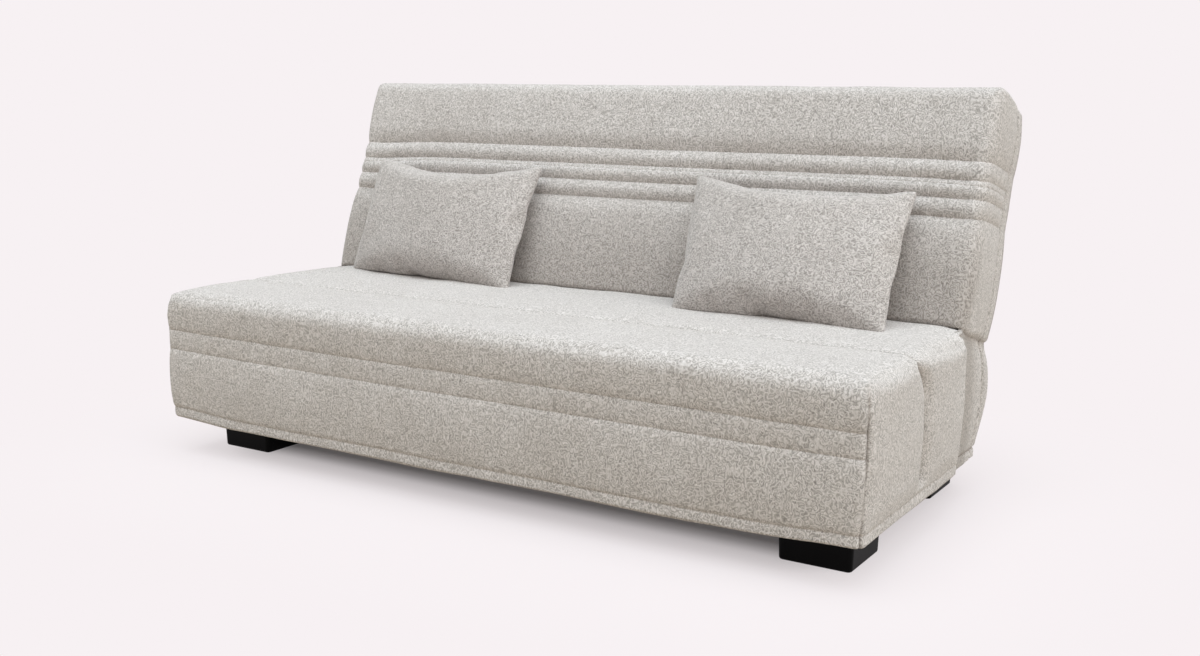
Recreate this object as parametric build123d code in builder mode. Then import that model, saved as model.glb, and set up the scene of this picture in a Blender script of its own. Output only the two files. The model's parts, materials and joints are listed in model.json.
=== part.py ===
"""Three-position sofa bed: steel base, swing arms, slatted seat, slatted folding back and loose cushions.

Millimetres, +Z up, front towards -Y, +X to the right as seen from the front.
The origin is on the floor, at the middle of the overall width and depth.
"""
import math
import os

from build123d import *

os.makedirs("parts", exist_ok=True)

# Overall sizes
sofa_width = 1950.0
seat_height = 437.0
seat_depth = 646.0
back_inset = 20.0
back_length = 585.0
back_thickness = 200.0
back_lean = 20.0
hem_height = 100.0

# Upholstery
cover_wall = 20.0
seat_edge_radius = 40.0
cover_corner_radius = 30.0
seat_seam_from_front = 290.0
side_end_gap = 28.0
front_seam_height = 340.0
front_stitch_height = 291.0
hem_seam_height = 131.0
seam_depth = 6.0
hem_seam_depth = 4.0
tongue_side_gap = 14.5
tongue_radius = 25.0
tongue_overlap = 1.0
tongue_lip_height = 380.0
back_wall = 15.0
back_front_radius = 45.0
back_rear_radius = 30.0
back_corner_radius = 45.0
back_channel_depth = 14.0
back_panel_seam = 12.0
lower_panel_top = 245.0
rib_pitch = 47.0
rib_count = 3
side_channel_radius = 7.0
side_channel_depth = 4.0
rear_panel_thickness = 12.0
rear_panel_inset = 2.0
rear_panel_margin = 45.0
soft_gap = 0.3
foam_side_gap = 6.0

# Rear skirt
skirt_thickness = 15.0
skirt_start_gap = 2.0
skirt_hem_behind_seat = 151.0
skirt_fold_behind_seat = 211.0
skirt_fold_height = 300.0
skirt_corner = 60.0
batten_size = 15.0
batten_past_hem = 5.0

# Feet
foot_width = 170.0
foot_length = 168.0
foot_height = 88.0
foot_corner = 14.0
foot_edge = 6.0
foot_taper = 2.0
foot_from_side = 148.0
front_foot_from_front = 206.0
rear_foot_behind_seat = 130.0
rear_foot_inset = 24.0
rear_bolt_behind_seat = 89.0
foot_lug_width = 34.0
foot_lug_height = 46.0
foot_lug_length = 60.0
foot_bolt_radius = 5.0
foot_bolt_depth = 45.0

# Steel frame
tube_wall = 2.0
base_tube_width = 40.0
base_tube_height = 30.0
base_rail_overhang = 12.0
frame_tube = 30.0
frame_front_inset = 40.0
frame_rear_inset = 16.0
frame_side_gap = 13.5
frame_level = 270.0
middle_rail_from_front = 285.0
carriage_width = 24.0
carriage_height = 40.0
bolt_head = 5.0
carriage_bolt_radius = 4.0

# Swing arms
arm_length = 141.4
arm_lean = 45.0
arm_width = 30.0
arm_thickness = 8.0
arm_pivot_height = 150.0
front_arm_from_front = 200.0
arm_spacing = 300.0
bracket_thickness = 6.0
bracket_length = 150.0
pivot_radius = 6.0
pivot_head_radius = 11.0
running_gap = 0.05
side_gap = 0.5
stop_radius = 5.0
stop_reach = 55.0
stop_gap = 0.15
torsion_radius = 12.5
torsion_reach = 72.0

# Slats
slat_count = 12
slat_width = 60.0
slat_thickness = 8.0
slat_arch = 12.0
slat_end_gap = 6.0
slat_pocket_floor = 6.0
slat_pocket_height = 11.0
slat_cap_width = 72.0
slat_cap_height = 20.0

# Back hinge
hinge_drop = 25.0
hinge_plate = 5.0
hinge_head = 2.5
plate_bolt_radius = 4.0
plate_bolt_head = 3.0
plate_bolt_tail = 8.0
seat_bolt_inset = 18.0
seat_bolt_spacing = 48.0
back_bolt_inset = 24.0
back_bolt_spacing = 60.0
sector_margin = 15.0
hinge_eye = 20.0
hinge_wall_gap = 1.5
hinge_bolt_radius = 7.0
hinge_head_radius = 12.0
recline_range = 70.0
stop_pin_radius = 6.0
stop_pin_reach = 48.0
slot_gap = 0.2
sector_radius = 66.0
roller_radius = 5.0
roller_gap = 0.3
back_end_gap = 4.0
back_frame_depth = 150.0
back_frame_start = 12.0
back_frame_end_margin = 40.0

# Cushions
cushion_width = 590.0
cushion_draw = 18.0
cushion_front = 80.0
cushion_edge = 5.0

# Values that follow from the sizes above; arc_share places the middle of a quarter arc
arc_share = 1 - math.sqrt(0.5)
lean = math.radians(back_lean)
lean_sin = math.sin(lean)
lean_cos = math.cos(lean)
overall_depth = (
    seat_depth
    + (back_length - back_rear_radius) * lean_sin
    + (back_thickness - back_rear_radius) * lean_cos
    + back_rear_radius
)
y_front = -overall_depth / 2
y_crease = y_front + seat_depth
half_width = sofa_width / 2
cover_inside = half_width - cover_wall - seam_depth
back_half = half_width - back_inset
back_inside = back_half - back_wall
# The frame leaves room for the hinge plates and their heads inside the back's side walls
frame_half_width = back_inside - frame_side_gap
tongue_half = frame_half_width - tongue_side_gap
foot_from_centre = half_width - foot_from_side
skirt_rear_hem = seat_depth + skirt_hem_behind_seat
skirt_rear_fold = seat_depth + skirt_fold_behind_seat
# The hinge axis lies hinge_drop under the seat surface and hinge_drop behind the back's face
hinge_ahead = hinge_drop * (1 - lean_sin) / lean_cos
y_hinge = y_crease + hinge_ahead
z_hinge = seat_height - hinge_drop
tongue_end = seat_depth + tongue_radius + tongue_overlap
back_face = Plane(origin=(0, y_crease, seat_height), x_dir=(1, 0, 0), z_dir=(0, -lean_cos, lean_sin))
back_section = Plane(origin=(0, y_crease, seat_height), x_dir=(0, lean_cos, -lean_sin), z_dir=(1, 0, 0))


def save(solid, name):
    """Label a finished piece and write its file."""
    solid.label = name
    export_step(solid, f"parts/{name}.step")


def save_pair(solid, name):
    """Write the right-hand piece and its mirror image."""
    save(solid, f"{name}_right")
    save(mirror(solid, about=Plane.YZ), f"{name}_left")


def block(x_limits, y_limits, z_limits):
    """Plain block between limits, as a building volume."""
    with BuildPart() as piece:
        with Locations((sum(x_limits) / 2, sum(y_limits) / 2, sum(z_limits) / 2)):
            Box(x_limits[1] - x_limits[0], y_limits[1] - y_limits[0], z_limits[1] - z_limits[0])
    return piece.part


def tube_along(plane, length, width, height):
    """Rectangular steel tube, centred on a plane and running both ways along its normal."""
    with BuildPart() as piece:
        with BuildSketch(plane):
            Rectangle(width, height)
            Rectangle(width - 2 * tube_wall, height - 2 * tube_wall, mode=Mode.SUBTRACT)
        extrude(amount=length / 2, both=True)
    return piece.part


def headed_pin(x_start, x_end, radius, head_radius, heads):
    """Pin along X at the origin's Y and Z, with a head over each (start, end) stretch in heads."""
    with BuildPart() as piece:
        with BuildSketch(Plane.YZ.offset(x_start)):
            Circle(radius)
        extrude(amount=x_end - x_start)
        for start, end in heads:
            with BuildSketch(Plane.YZ.offset(start)):
                Circle(head_radius)
            extrude(amount=end - start)
    return piece.part


def group(solids):
    """Several separate solids in one node, as like fasteners are kept."""
    return Compound(children=list(solids))


# Feet: moulded blocks with a fixing lug on the inner side
foot_places = {
    "front": (foot_from_centre, y_front + front_foot_from_front),
    "rear": (foot_from_centre - rear_foot_inset, y_crease + rear_foot_behind_seat),
}
bolt_rows = {"front": foot_places["front"][1], "rear": y_crease + rear_bolt_behind_seat}
for foot_name, (foot_x, foot_y) in foot_places.items():
    with BuildPart() as foot:
        with BuildSketch(Plane.XY.offset(foot_height)):
            with Locations((foot_x, foot_y)):
                RectangleRounded(foot_width, foot_length, foot_corner)
        extrude(amount=-foot_height, taper=foot_taper)
        fillet(foot.edges().group_by(Axis.Z)[0], foot_edge)
        with BuildSketch(Plane.XY.offset(foot_height)):
            with Locations((foot_x - foot_width / 2, foot_y)):
                RectangleRounded(2 * foot_lug_width, foot_lug_length, foot_edge)
        extrude(amount=-foot_lug_height)
        with Locations((foot_from_centre, bolt_rows[foot_name], foot_height)):
            Hole(foot_bolt_radius + running_gap, depth=foot_bolt_depth)
    save_pair(foot.part, f"foot_{foot_name}")

# Base frame
base_level = foot_height + base_tube_height / 2
base_top = foot_height + base_tube_height
side_rail_start = bolt_rows["front"] - foot_length / 2 + base_rail_overhang
side_rail_end = y_front + skirt_rear_hem - skirt_thickness - skirt_start_gap
side_rail_inner = foot_from_centre - base_tube_width / 2
bracket_inner = side_rail_inner - bracket_thickness

with BuildPart() as base_side_rail:
    with BuildSketch(Plane.XZ.offset(-(side_rail_start + side_rail_end) / 2)):
        with Locations((foot_from_centre, base_level)):
            Rectangle(base_tube_width, base_tube_height)
            Rectangle(base_tube_width - 2 * tube_wall, base_tube_height - 2 * tube_wall, mode=Mode.SUBTRACT)
    extrude(amount=(side_rail_end - side_rail_start) / 2, both=True)
    with Locations(*[(foot_from_centre, y, base_top) for y in bolt_rows.values()]):
        Hole(foot_bolt_radius + running_gap, depth=base_tube_height)
save_pair(base_side_rail.part, "base_side_rail")

front_rail_plane = Plane(origin=(0, bolt_rows["front"], base_level), x_dir=(0, 1, 0), z_dir=(1, 0, 0))
save(tube_along(front_rail_plane, 2 * bracket_inner, base_tube_width, base_tube_height), "base_front_rail")
rear_rail_plane = Plane(origin=(0, bolt_rows["rear"], base_level), x_dir=(0, 1, 0), z_dir=(1, 0, 0))
save(tube_along(rear_rail_plane, 2 * side_rail_inner, base_tube_width, base_tube_height), "base_rear_rail")

with BuildPart() as foot_bolt:
    with BuildSketch(Plane.XY.offset(foot_height - foot_bolt_depth + 1)):
        Circle(foot_bolt_radius)
    extrude(amount=foot_bolt_depth - 1 + base_tube_height)
    with BuildSketch(Plane.XY.offset(base_top)):
        RegularPolygon(2 * foot_bolt_radius, 6)
    extrude(amount=bolt_head)
foot_bolt_places = [(s * foot_from_centre, y, 0) for s in (-1, 1) for y in bolt_rows.values()]
save(group(Pos(*place) * foot_bolt.part for place in foot_bolt_places), "foot_bolts")

# Swing arms: two parallel pairs of links, standing on brackets at the side rails
tilt = math.radians(arm_lean)
arm_along = (math.sin(tilt), math.cos(tilt))
arm_across = (math.cos(tilt), -math.sin(tilt))
arm_outer = bracket_inner - side_gap
arm_inner = arm_outer - arm_thickness
arm_places = {"front": y_front + front_arm_from_front, "rear": y_front + front_arm_from_front + arm_spacing}
arm_rise = arm_length * arm_along[1]
arm_run = arm_length * arm_along[0]
carriage_level = arm_pivot_height + arm_rise
stop_offset = arm_width / 2 + stop_radius + stop_gap
stop_run = stop_reach * arm_along[0] + stop_offset * arm_across[0]
stop_rise = stop_reach * arm_along[1] + stop_offset * arm_across[1]

for arm_name, arm_y in arm_places.items():
    with BuildPart() as pivot_bracket:
        with BuildSketch(Plane.YZ.offset(bracket_inner)):
            with Locations((arm_y, base_level)):
                Rectangle(bracket_length, base_tube_height - 2 * tube_wall)
            with Locations(*[(arm_y + d * stop_run, arm_pivot_height + stop_rise) for d in (-1, 1)]):
                Circle(2.4 * stop_radius)
            make_hull()
            with Locations((arm_y, arm_pivot_height)):
                Circle(pivot_radius + running_gap, mode=Mode.SUBTRACT)
            with Locations(*[(arm_y + d * stop_run, arm_pivot_height + stop_rise) for d in (-1, 1)]):
                Circle(stop_radius + running_gap, mode=Mode.SUBTRACT)
        extrude(amount=bracket_thickness)
    save_pair(pivot_bracket.part, f"pivot_bracket_{arm_name}")

    arm_middle = (arm_y + arm_run / 2, arm_pivot_height + arm_rise / 2)
    with BuildPart() as link:
        with BuildSketch(Plane.YZ.offset(arm_inner)):
            with Locations(Location((arm_middle[0], arm_middle[1], 0), (0, 0, 90 - arm_lean))):
                SlotCenterToCenter(arm_length, arm_width)
                with GridLocations(arm_length, 0, 2, 1):
                    Circle(pivot_radius + running_gap, mode=Mode.SUBTRACT)
        extrude(amount=arm_thickness)
    save_pair(link.part, f"{arm_name}_link")

    torsion_y = arm_y + torsion_reach * arm_along[0]
    torsion_z = arm_pivot_height + torsion_reach * arm_along[1]
    with BuildPart() as torsion_tube:
        with BuildSketch(Plane.YZ):
            with Locations((torsion_y, torsion_z)):
                Circle(torsion_radius)
                Circle(torsion_radius - tube_wall, mode=Mode.SUBTRACT)
        extrude(amount=arm_inner, both=True)
    save(torsion_tube.part, f"{arm_name}_torsion_tube")

pin_inner = arm_inner - side_gap
base_pin_heads = [(pin_inner - bolt_head, pin_inner), (side_rail_inner, side_rail_inner + bolt_head)]
base_pin = headed_pin(pin_inner, side_rail_inner, pivot_radius, pivot_head_radius, base_pin_heads)
base_pins = [Pos(0, y, arm_pivot_height) * base_pin for y in arm_places.values()]
save(group(base_pins + [mirror(pin, about=Plane.YZ) for pin in base_pins]), "base_pivot_bolts")

stop_heads = [(side_rail_inner, side_rail_inner + bolt_head / 2)]
stop_pin = headed_pin(arm_inner, side_rail_inner, stop_radius, 1.6 * stop_radius, stop_heads)
stop_z = arm_pivot_height + stop_rise
arm_stops = [Pos(0, y + d * stop_run, stop_z) * stop_pin for y in arm_places.values() for d in (-1, 1)]
save(group(arm_stops + [mirror(pin, about=Plane.YZ) for pin in arm_stops]), "arm_stop_pins")

# Seat frame: a tube rectangle with a middle rail, on carriage rails that hang on the arms
frame_front = y_front + frame_front_inset
frame_rear = y_crease - frame_rear_inset
frame_top = frame_level + frame_tube
frame_centre = frame_level + frame_tube / 2
frame_inner = frame_half_width - frame_tube
middle_rail = y_front + middle_rail_from_front
rail_places = {
    "seat_front_rail": frame_front + frame_tube / 2,
    "seat_middle_rail": middle_rail,
    "seat_rear_rail": frame_rear - frame_tube / 2,
}
carriage_x = bracket_inner + carriage_width / 2
carriage_bolt_places = [(carriage_x, rail_places[name]) for name in ("seat_middle_rail", "seat_rear_rail")]
for rail_name, rail_y in rail_places.items():
    with BuildPart() as cross_rail:
        with BuildSketch(Plane.YZ):
            with Locations((rail_y, frame_centre)):
                Rectangle(frame_tube, frame_tube)
                Rectangle(frame_tube - 2 * tube_wall, frame_tube - 2 * tube_wall, mode=Mode.SUBTRACT)
        extrude(amount=frame_inner, both=True)
        if rail_name != "seat_front_rail":
            with Locations(*[(s * carriage_x, rail_y, frame_top) for s in (-1, 1)]):
                Hole(carriage_bolt_radius + running_gap, depth=frame_tube)
    save(cross_rail.part, rail_name)

hinge_bolt_spots = [frame_rear - seat_bolt_inset - step for step in (0, seat_bolt_spacing)]
with BuildPart() as seat_side_rail:
    with BuildSketch(Plane.XZ.offset(-(frame_front + frame_rear) / 2)):
        with Locations((frame_half_width - frame_tube / 2, frame_centre)):
            Rectangle(frame_tube, frame_tube)
            Rectangle(frame_tube - 2 * tube_wall, frame_tube - 2 * tube_wall, mode=Mode.SUBTRACT)
    extrude(amount=(frame_rear - frame_front) / 2, both=True)
    with BuildSketch(Plane.YZ.offset(frame_half_width)):
        with Locations(*[(y, frame_centre) for y in hinge_bolt_spots]):
            Circle(plate_bolt_radius + running_gap)
    extrude(amount=-2 * tube_wall, mode=Mode.SUBTRACT)
save_pair(seat_side_rail.part, "seat_side_rail")

carriage_start = middle_rail - frame_tube / 2
carriage_end = frame_rear
carriage_pivots = [y + arm_run for y in arm_places.values()]
carriage_z = frame_level - carriage_height / 2
with BuildPart() as carriage_rail:
    with BuildSketch(Plane.XZ.offset(-(carriage_start + carriage_end) / 2)):
        with Locations((carriage_x, carriage_z)):
            Rectangle(carriage_width, carriage_height)
            Rectangle(carriage_width - 2 * tube_wall, carriage_height - 2 * tube_wall, mode=Mode.SUBTRACT)
    extrude(amount=(carriage_end - carriage_start) / 2, both=True)
    with BuildSketch(Plane.YZ.offset(bracket_inner)):
        with Locations(*[(y, carriage_level) for y in carriage_pivots]):
            Circle(pivot_radius + running_gap)
    extrude(amount=carriage_width, mode=Mode.SUBTRACT)
    with Locations(*[(carriage_x, y, frame_level) for x, y in carriage_bolt_places]):
        Hole(carriage_bolt_radius + running_gap, depth=carriage_height)
save_pair(carriage_rail.part, "carriage_rail")

carriage_outer = bracket_inner + carriage_width
carriage_heads = [(pin_inner - bolt_head, pin_inner), (carriage_outer, carriage_outer + bolt_head)]
carriage_pin = headed_pin(pin_inner, carriage_outer, pivot_radius, pivot_head_radius, carriage_heads)
carriage_pins = [Pos(0, y, carriage_level) * carriage_pin for y in carriage_pivots]
save(group(carriage_pins + [mirror(pin, about=Plane.YZ) for pin in carriage_pins]), "carriage_pivot_bolts")

with BuildPart() as carriage_bolt:
    with BuildSketch(Plane.XY.offset(frame_level - carriage_height)):
        Circle(carriage_bolt_radius)
    extrude(amount=carriage_height + frame_tube)
    with BuildSketch(Plane.XY.offset(frame_top)):
        RegularPolygon(2 * carriage_bolt_radius, 6)
    extrude(amount=bolt_head)
    with BuildSketch(Plane.XY.offset(frame_level - carriage_height)):
        RegularPolygon(2 * carriage_bolt_radius, 6)
    extrude(amount=-bolt_head)
bolt_places = [(s * x, y, 0) for s in (-1, 1) for x, y in carriage_bolt_places]
save(group(Pos(*place) * carriage_bolt.part for place in bolt_places), "carriage_bolts")

# Slats: bent wood in plastic caps, the same for seat and back, laid out on a plane whose X runs along the sofa
slat_span = 2 * frame_inner - slat_cap_width
slat_pitch = slat_span / (slat_count - 1)


def slats_and_caps(plane, start, end):
    """Slats from rail to rail across a plane, and the caps that hold their ends, between rail faces."""
    slat_from = start + slat_end_gap
    slat_to = end - slat_end_gap
    middle = (slat_from + slat_to) / 2
    low = slat_pocket_floor + soft_gap
    with BuildPart() as slat:
        with BuildSketch(Plane.YZ):
            with BuildLine():
                ThreePointArc((slat_from, low), (middle, low + slat_arch), (slat_to, low))
                Line((slat_to, low), (slat_to, low + slat_thickness))
                ThreePointArc(
                    (slat_to, low + slat_thickness),
                    (middle, low + slat_arch + slat_thickness),
                    (slat_from, low + slat_thickness),
                )
                Line((slat_from, low + slat_thickness), (slat_from, low))
            make_face()
        extrude(amount=slat_width / 2, both=True)
    with BuildPart() as caps:
        cap_rows = (start + frame_tube / 2, end - frame_tube / 2)
        with Locations(*[(0, y, slat_cap_height / 2) for y in cap_rows]):
            Box(slat_cap_width, frame_tube, slat_cap_height)
        with Locations((0, middle, slat_pocket_floor + slat_pocket_height / 2)):
            Box(slat_width + 1, slat_to - slat_from + 1, slat_pocket_height, mode=Mode.SUBTRACT)
    row = [plane * Pos(-slat_span / 2 + i * slat_pitch, 0, 0) for i in range(slat_count)]
    all_slats = group(place * slat.part for place in row)
    all_caps = group(place * cap for place in row for cap in caps.solids())
    return all_slats, all_caps


seat_slat_plane = Plane(origin=(0, 0, frame_top), x_dir=(1, 0, 0), z_dir=(0, 0, 1))
seat_slats, seat_slat_caps = slats_and_caps(seat_slat_plane, frame_front, frame_rear)
save(seat_slats, "seat_slats")
save(seat_slat_caps, "seat_slat_caps")
slat_crown = slat_pocket_floor + soft_gap + slat_arch + slat_thickness

# Seat upholstery: one quilted form, cut along its seams into top cover, front panel and side panels
seat_seam_y = y_front + seat_seam_from_front
side_end = y_crease - side_end_gap
tongue_y = y_front + tongue_end
with BuildPart() as seat_form:
    with BuildSketch(Plane.YZ):
        with BuildLine():
            wide_mid = (hem_seam_height + front_stitch_height) / 2
            band_mid = (front_stitch_height + front_seam_height) / 2
            edge_start = seat_height - seat_edge_radius
            Line((y_front + hem_seam_depth, hem_height), (y_front + hem_seam_depth, hem_seam_height))
            ThreePointArc(
                (y_front + hem_seam_depth, hem_seam_height),
                (y_front, wide_mid),
                (y_front + seam_depth, front_stitch_height),
            )
            ThreePointArc(
                (y_front + seam_depth, front_stitch_height),
                (y_front, band_mid),
                (y_front + seam_depth, front_seam_height),
            )
            Line((y_front + seam_depth, front_seam_height), (y_front, edge_start))
            corner = seat_edge_radius * arc_share
            ThreePointArc(
                (y_front, edge_start),
                (y_front + corner, seat_height - corner),
                (y_front + seat_edge_radius, seat_height - seam_depth / 2),
            )
            ThreePointArc(
                (y_front + seat_edge_radius, seat_height - seam_depth / 2),
                ((y_front + seat_edge_radius + seat_seam_y) / 2, seat_height),
                (seat_seam_y, seat_height - seam_depth),
            )
            ThreePointArc(
                (seat_seam_y, seat_height - seam_depth),
                ((seat_seam_y + tongue_y - tongue_radius) / 2, seat_height),
                (tongue_y - tongue_radius, seat_height - seam_depth / 2),
            )
            turn = tongue_radius * arc_share
            ThreePointArc(
                (tongue_y - tongue_radius, seat_height - seam_depth / 2),
                (tongue_y - turn, seat_height - seam_depth / 2 - turn),
                (tongue_y, seat_height - seam_depth / 2 - tongue_radius),
            )
            Line((tongue_y, seat_height - seam_depth / 2 - tongue_radius), (tongue_y, hem_height))
            Line((tongue_y, hem_height), (y_front + hem_seam_depth, hem_height))
        make_face()
    extrude(amount=half_width, both=True)
    with BuildSketch(Plane.XZ.offset(-y_front + seam_depth)):
        with BuildLine():
            shoulder = seat_height - seat_edge_radius
            Line((half_width, hem_height), (half_width, shoulder))
            ThreePointArc(
                (half_width, shoulder),
                (half_width - corner, seat_height - corner),
                (half_width - seat_edge_radius, seat_height),
            )
            Line((half_width - seat_edge_radius, seat_height), (seat_edge_radius - half_width, seat_height))
            ThreePointArc(
                (seat_edge_radius - half_width, seat_height),
                (corner - half_width, seat_height - corner),
                (-half_width, shoulder),
            )
            Line((-half_width, shoulder), (-half_width, hem_height))
            Line((-half_width, hem_height), (half_width, hem_height))
        make_face()
    extrude(amount=-(tongue_end + 2 * seam_depth), mode=Mode.INTERSECT)
    with BuildSketch(Plane.XY.offset(hem_height)):
        with BuildLine():
            side_front = y_front + cover_corner_radius
            Line((0, y_front), (half_width - cover_corner_radius, y_front))
            round_in = cover_corner_radius * arc_share
            ThreePointArc(
                (half_width - cover_corner_radius, y_front),
                (half_width - seam_depth - round_in, y_front + round_in),
                (half_width - seam_depth, side_front),
            )
            ThreePointArc(
                (half_width - seam_depth, side_front),
                (half_width, (side_front + seat_seam_y) / 2),
                (half_width - seam_depth, seat_seam_y),
            )
            ThreePointArc(
                (half_width - seam_depth, seat_seam_y),
                (half_width, (seat_seam_y + side_end) / 2),
                (half_width - seam_depth, side_end),
            )
            Line((half_width - seam_depth, side_end), (tongue_half, side_end))
            Line((tongue_half, side_end), (tongue_half, tongue_y))
            Line((tongue_half, tongue_y), (0, tongue_y))
            mirror(about=Plane.YZ)
        make_face()
    extrude(amount=seat_height, mode=Mode.INTERSECT)

panel_inside = y_front + cover_wall
ceiling = seat_height - cover_wall
lip_inside = tongue_y - cover_wall
with BuildPart() as seat_shell:
    add(seat_form.part)
    add(block((-cover_inside, cover_inside), (panel_inside, side_end), (0, ceiling)), mode=Mode.SUBTRACT)
    add(block((-tongue_half, tongue_half), (side_end, lip_inside), (0, ceiling)), mode=Mode.SUBTRACT)
    add(block((-half_width, half_width), (side_end, tongue_y), (0, tongue_lip_height)), mode=Mode.SUBTRACT)

whole_y = (y_front - cover_wall, tongue_y + cover_wall)
low_z = (0, front_seam_height)
with BuildPart() as seat_top_cover:
    add(seat_shell.part)
    add(block((-sofa_width, sofa_width), whole_y, (front_seam_height, 2 * seat_height)), mode=Mode.INTERSECT)
save(seat_top_cover.part, "seat_top_cover")
with BuildPart() as seat_front_panel:
    add(seat_shell.part)
    add(block((-cover_inside, cover_inside), (whole_y[0], panel_inside), low_z), mode=Mode.INTERSECT)
save(seat_front_panel.part, "seat_front_panel")
with BuildPart() as seat_side_panel:
    add(seat_shell.part)
    add(block((cover_inside, sofa_width), whole_y, low_z), mode=Mode.INTERSECT)
save_pair(seat_side_panel.part, "seat_side_panel")

foam_half = tongue_half - foam_side_gap
with BuildPart() as seat_mattress:
    add(
        block(
            (-foam_half, foam_half),
            (panel_inside + soft_gap, lip_inside - soft_gap),
            (frame_top + slat_crown + soft_gap, ceiling - soft_gap),
        )
    )
    fillet(seat_mattress.edges().filter_by(Axis.Z), cover_corner_radius)
save(seat_mattress.part, "seat_mattress")

# Back hinge: an eye plate on each seat side rail, with a stop slot and a notched sector
seat_plate_inner = frame_half_width
back_plate_inner = seat_plate_inner + hinge_plate + side_gap
slot_from = -back_lean
slot_to = -back_lean - recline_range


def hinge_point(reach, angle):
    """Point of the YZ plane at a reach and angle from the hinge axis."""
    turn_angle = math.radians(angle)
    return (y_hinge + reach * math.cos(turn_angle), z_hinge + reach * math.sin(turn_angle))


# The plates keep clear of the back cover's front wall, which passes wall_depth behind the hinge axis
front_wall = back_channel_depth + back_wall
wall_depth = front_wall - hinge_drop
notch_angles = [slot_from - recline_range * step / 2 for step in range(3)]
roller_reach = sector_radius + roller_gap + roller_radius
foot_rect = (hinge_bolt_spots[0] + hinge_bolt_spots[1]) / 2
with BuildPart() as seat_hinge_plate:
    with BuildSketch(Plane.YZ.offset(seat_plate_inner)):
        with Locations((y_hinge, z_hinge)):
            Circle(hinge_eye)
        with Locations((foot_rect, frame_centre)):
            Rectangle(hinge_bolt_spots[0] - hinge_bolt_spots[1] + frame_tube, frame_tube)
        make_hull()
        with BuildLine():
            Line((y_hinge, z_hinge), hinge_point(sector_radius, slot_from + sector_margin))
            ThreePointArc(
                hinge_point(sector_radius, slot_from + sector_margin),
                hinge_point(sector_radius, (slot_from + slot_to) / 2),
                hinge_point(sector_radius, slot_to - sector_margin),
            )
            Line(hinge_point(sector_radius, slot_to - sector_margin), (y_hinge, z_hinge))
        make_face()
        with Locations(*[hinge_point(sector_radius + roller_radius / 2, a) for a in notch_angles]):
            Circle(roller_radius, mode=Mode.SUBTRACT)
        with Locations((y_hinge + hinge_eye, z_hinge - wall_depth - hinge_wall_gap)):
            Rectangle(sector_radius, sector_radius, align=(Align.MIN, Align.MIN), mode=Mode.SUBTRACT)
        with Locations((y_hinge, z_hinge)):
            Circle(hinge_bolt_radius + running_gap, mode=Mode.SUBTRACT)
        with BuildLine():
            stop_path = CenterArc((y_hinge, z_hinge), stop_pin_reach, slot_from, -recline_range)
        SlotArc(stop_path, 2 * (stop_pin_radius + slot_gap), mode=Mode.SUBTRACT)
        with Locations(*[(y, frame_centre) for y in hinge_bolt_spots]):
            Circle(plate_bolt_radius + running_gap, mode=Mode.SUBTRACT)
    extrude(amount=hinge_plate)
save_pair(seat_hinge_plate.part, "seat_hinge_plate")

hinge_outer = back_plate_inner + hinge_plate
hinge_heads = [
    (seat_plate_inner - side_gap - bolt_head, seat_plate_inner - side_gap),
    (hinge_outer, hinge_outer + hinge_head),
]
hinge_bolt = headed_pin(
    seat_plate_inner - side_gap, hinge_outer, hinge_bolt_radius, hinge_head_radius, hinge_heads
)
hinge_bolt = Pos(0, y_hinge, z_hinge) * hinge_bolt
save(group([hinge_bolt, mirror(hinge_bolt, about=Plane.YZ)]), "hinge_pivot_bolts")

seat_plate_outer = seat_plate_inner + hinge_plate
seat_plate_heads = [(seat_plate_outer, seat_plate_outer + plate_bolt_head)]
seat_plate_bolt = headed_pin(
    frame_half_width - tube_wall - plate_bolt_tail,
    seat_plate_outer,
    plate_bolt_radius,
    2 * plate_bolt_radius,
    seat_plate_heads,
)
seat_plate_bolts = [Pos(0, y, frame_centre) * seat_plate_bolt for y in hinge_bolt_spots]
save(group(seat_plate_bolts + [mirror(bolt, about=Plane.YZ) for bolt in seat_plate_bolts]), "seat_hinge_bolts")

# Back frame, laid out on the back's face: X along the sofa, Y up the face, depth behind it
back_frame_end = back_length - back_frame_end_margin
back_rail_outer = frame_half_width - side_gap
back_rail_depth = back_frame_depth + frame_tube / 2
back_spots = [back_frame_start + back_bolt_inset + step for step in (0, back_bolt_spacing)]
with BuildPart() as back_side_rail:
    with BuildSketch(Plane(origin=back_face.from_local_coords((0, back_frame_start, 0)), x_dir=(1, 0, 0),
                           z_dir=back_face.y_dir)):
        with Locations((back_rail_outer - frame_tube / 2, back_rail_depth)):
            Rectangle(frame_tube, frame_tube)
            Rectangle(frame_tube - 2 * tube_wall, frame_tube - 2 * tube_wall, mode=Mode.SUBTRACT)
    extrude(amount=back_frame_end - back_frame_start)
    with BuildSketch(back_section.offset(back_rail_outer)):
        with Locations(*[(back_rail_depth, s) for s in back_spots]):
            Circle(plate_bolt_radius + running_gap)
    extrude(amount=-2 * tube_wall, mode=Mode.SUBTRACT)
save_pair(back_side_rail.part, "back_side_rail")

back_rail_places = {
    "back_lower_rail": back_frame_start + frame_tube / 2,
    "back_upper_rail": back_frame_end - frame_tube / 2,
}
for rail_name, rail_s in back_rail_places.items():
    with BuildPart() as back_rail:
        with BuildSketch(back_section):
            with Locations((back_rail_depth, rail_s)):
                Rectangle(frame_tube, frame_tube)
                Rectangle(frame_tube - 2 * tube_wall, frame_tube - 2 * tube_wall, mode=Mode.SUBTRACT)
        extrude(amount=back_rail_outer - frame_tube, both=True)
    save(back_rail.part, rail_name)

back_slat_plane = back_face.offset(-back_frame_depth)
back_slats, back_slat_caps = slats_and_caps(back_slat_plane, back_frame_start, back_frame_end)
save(back_slats, "back_slats")
save(back_slat_caps, "back_slat_caps")

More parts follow.
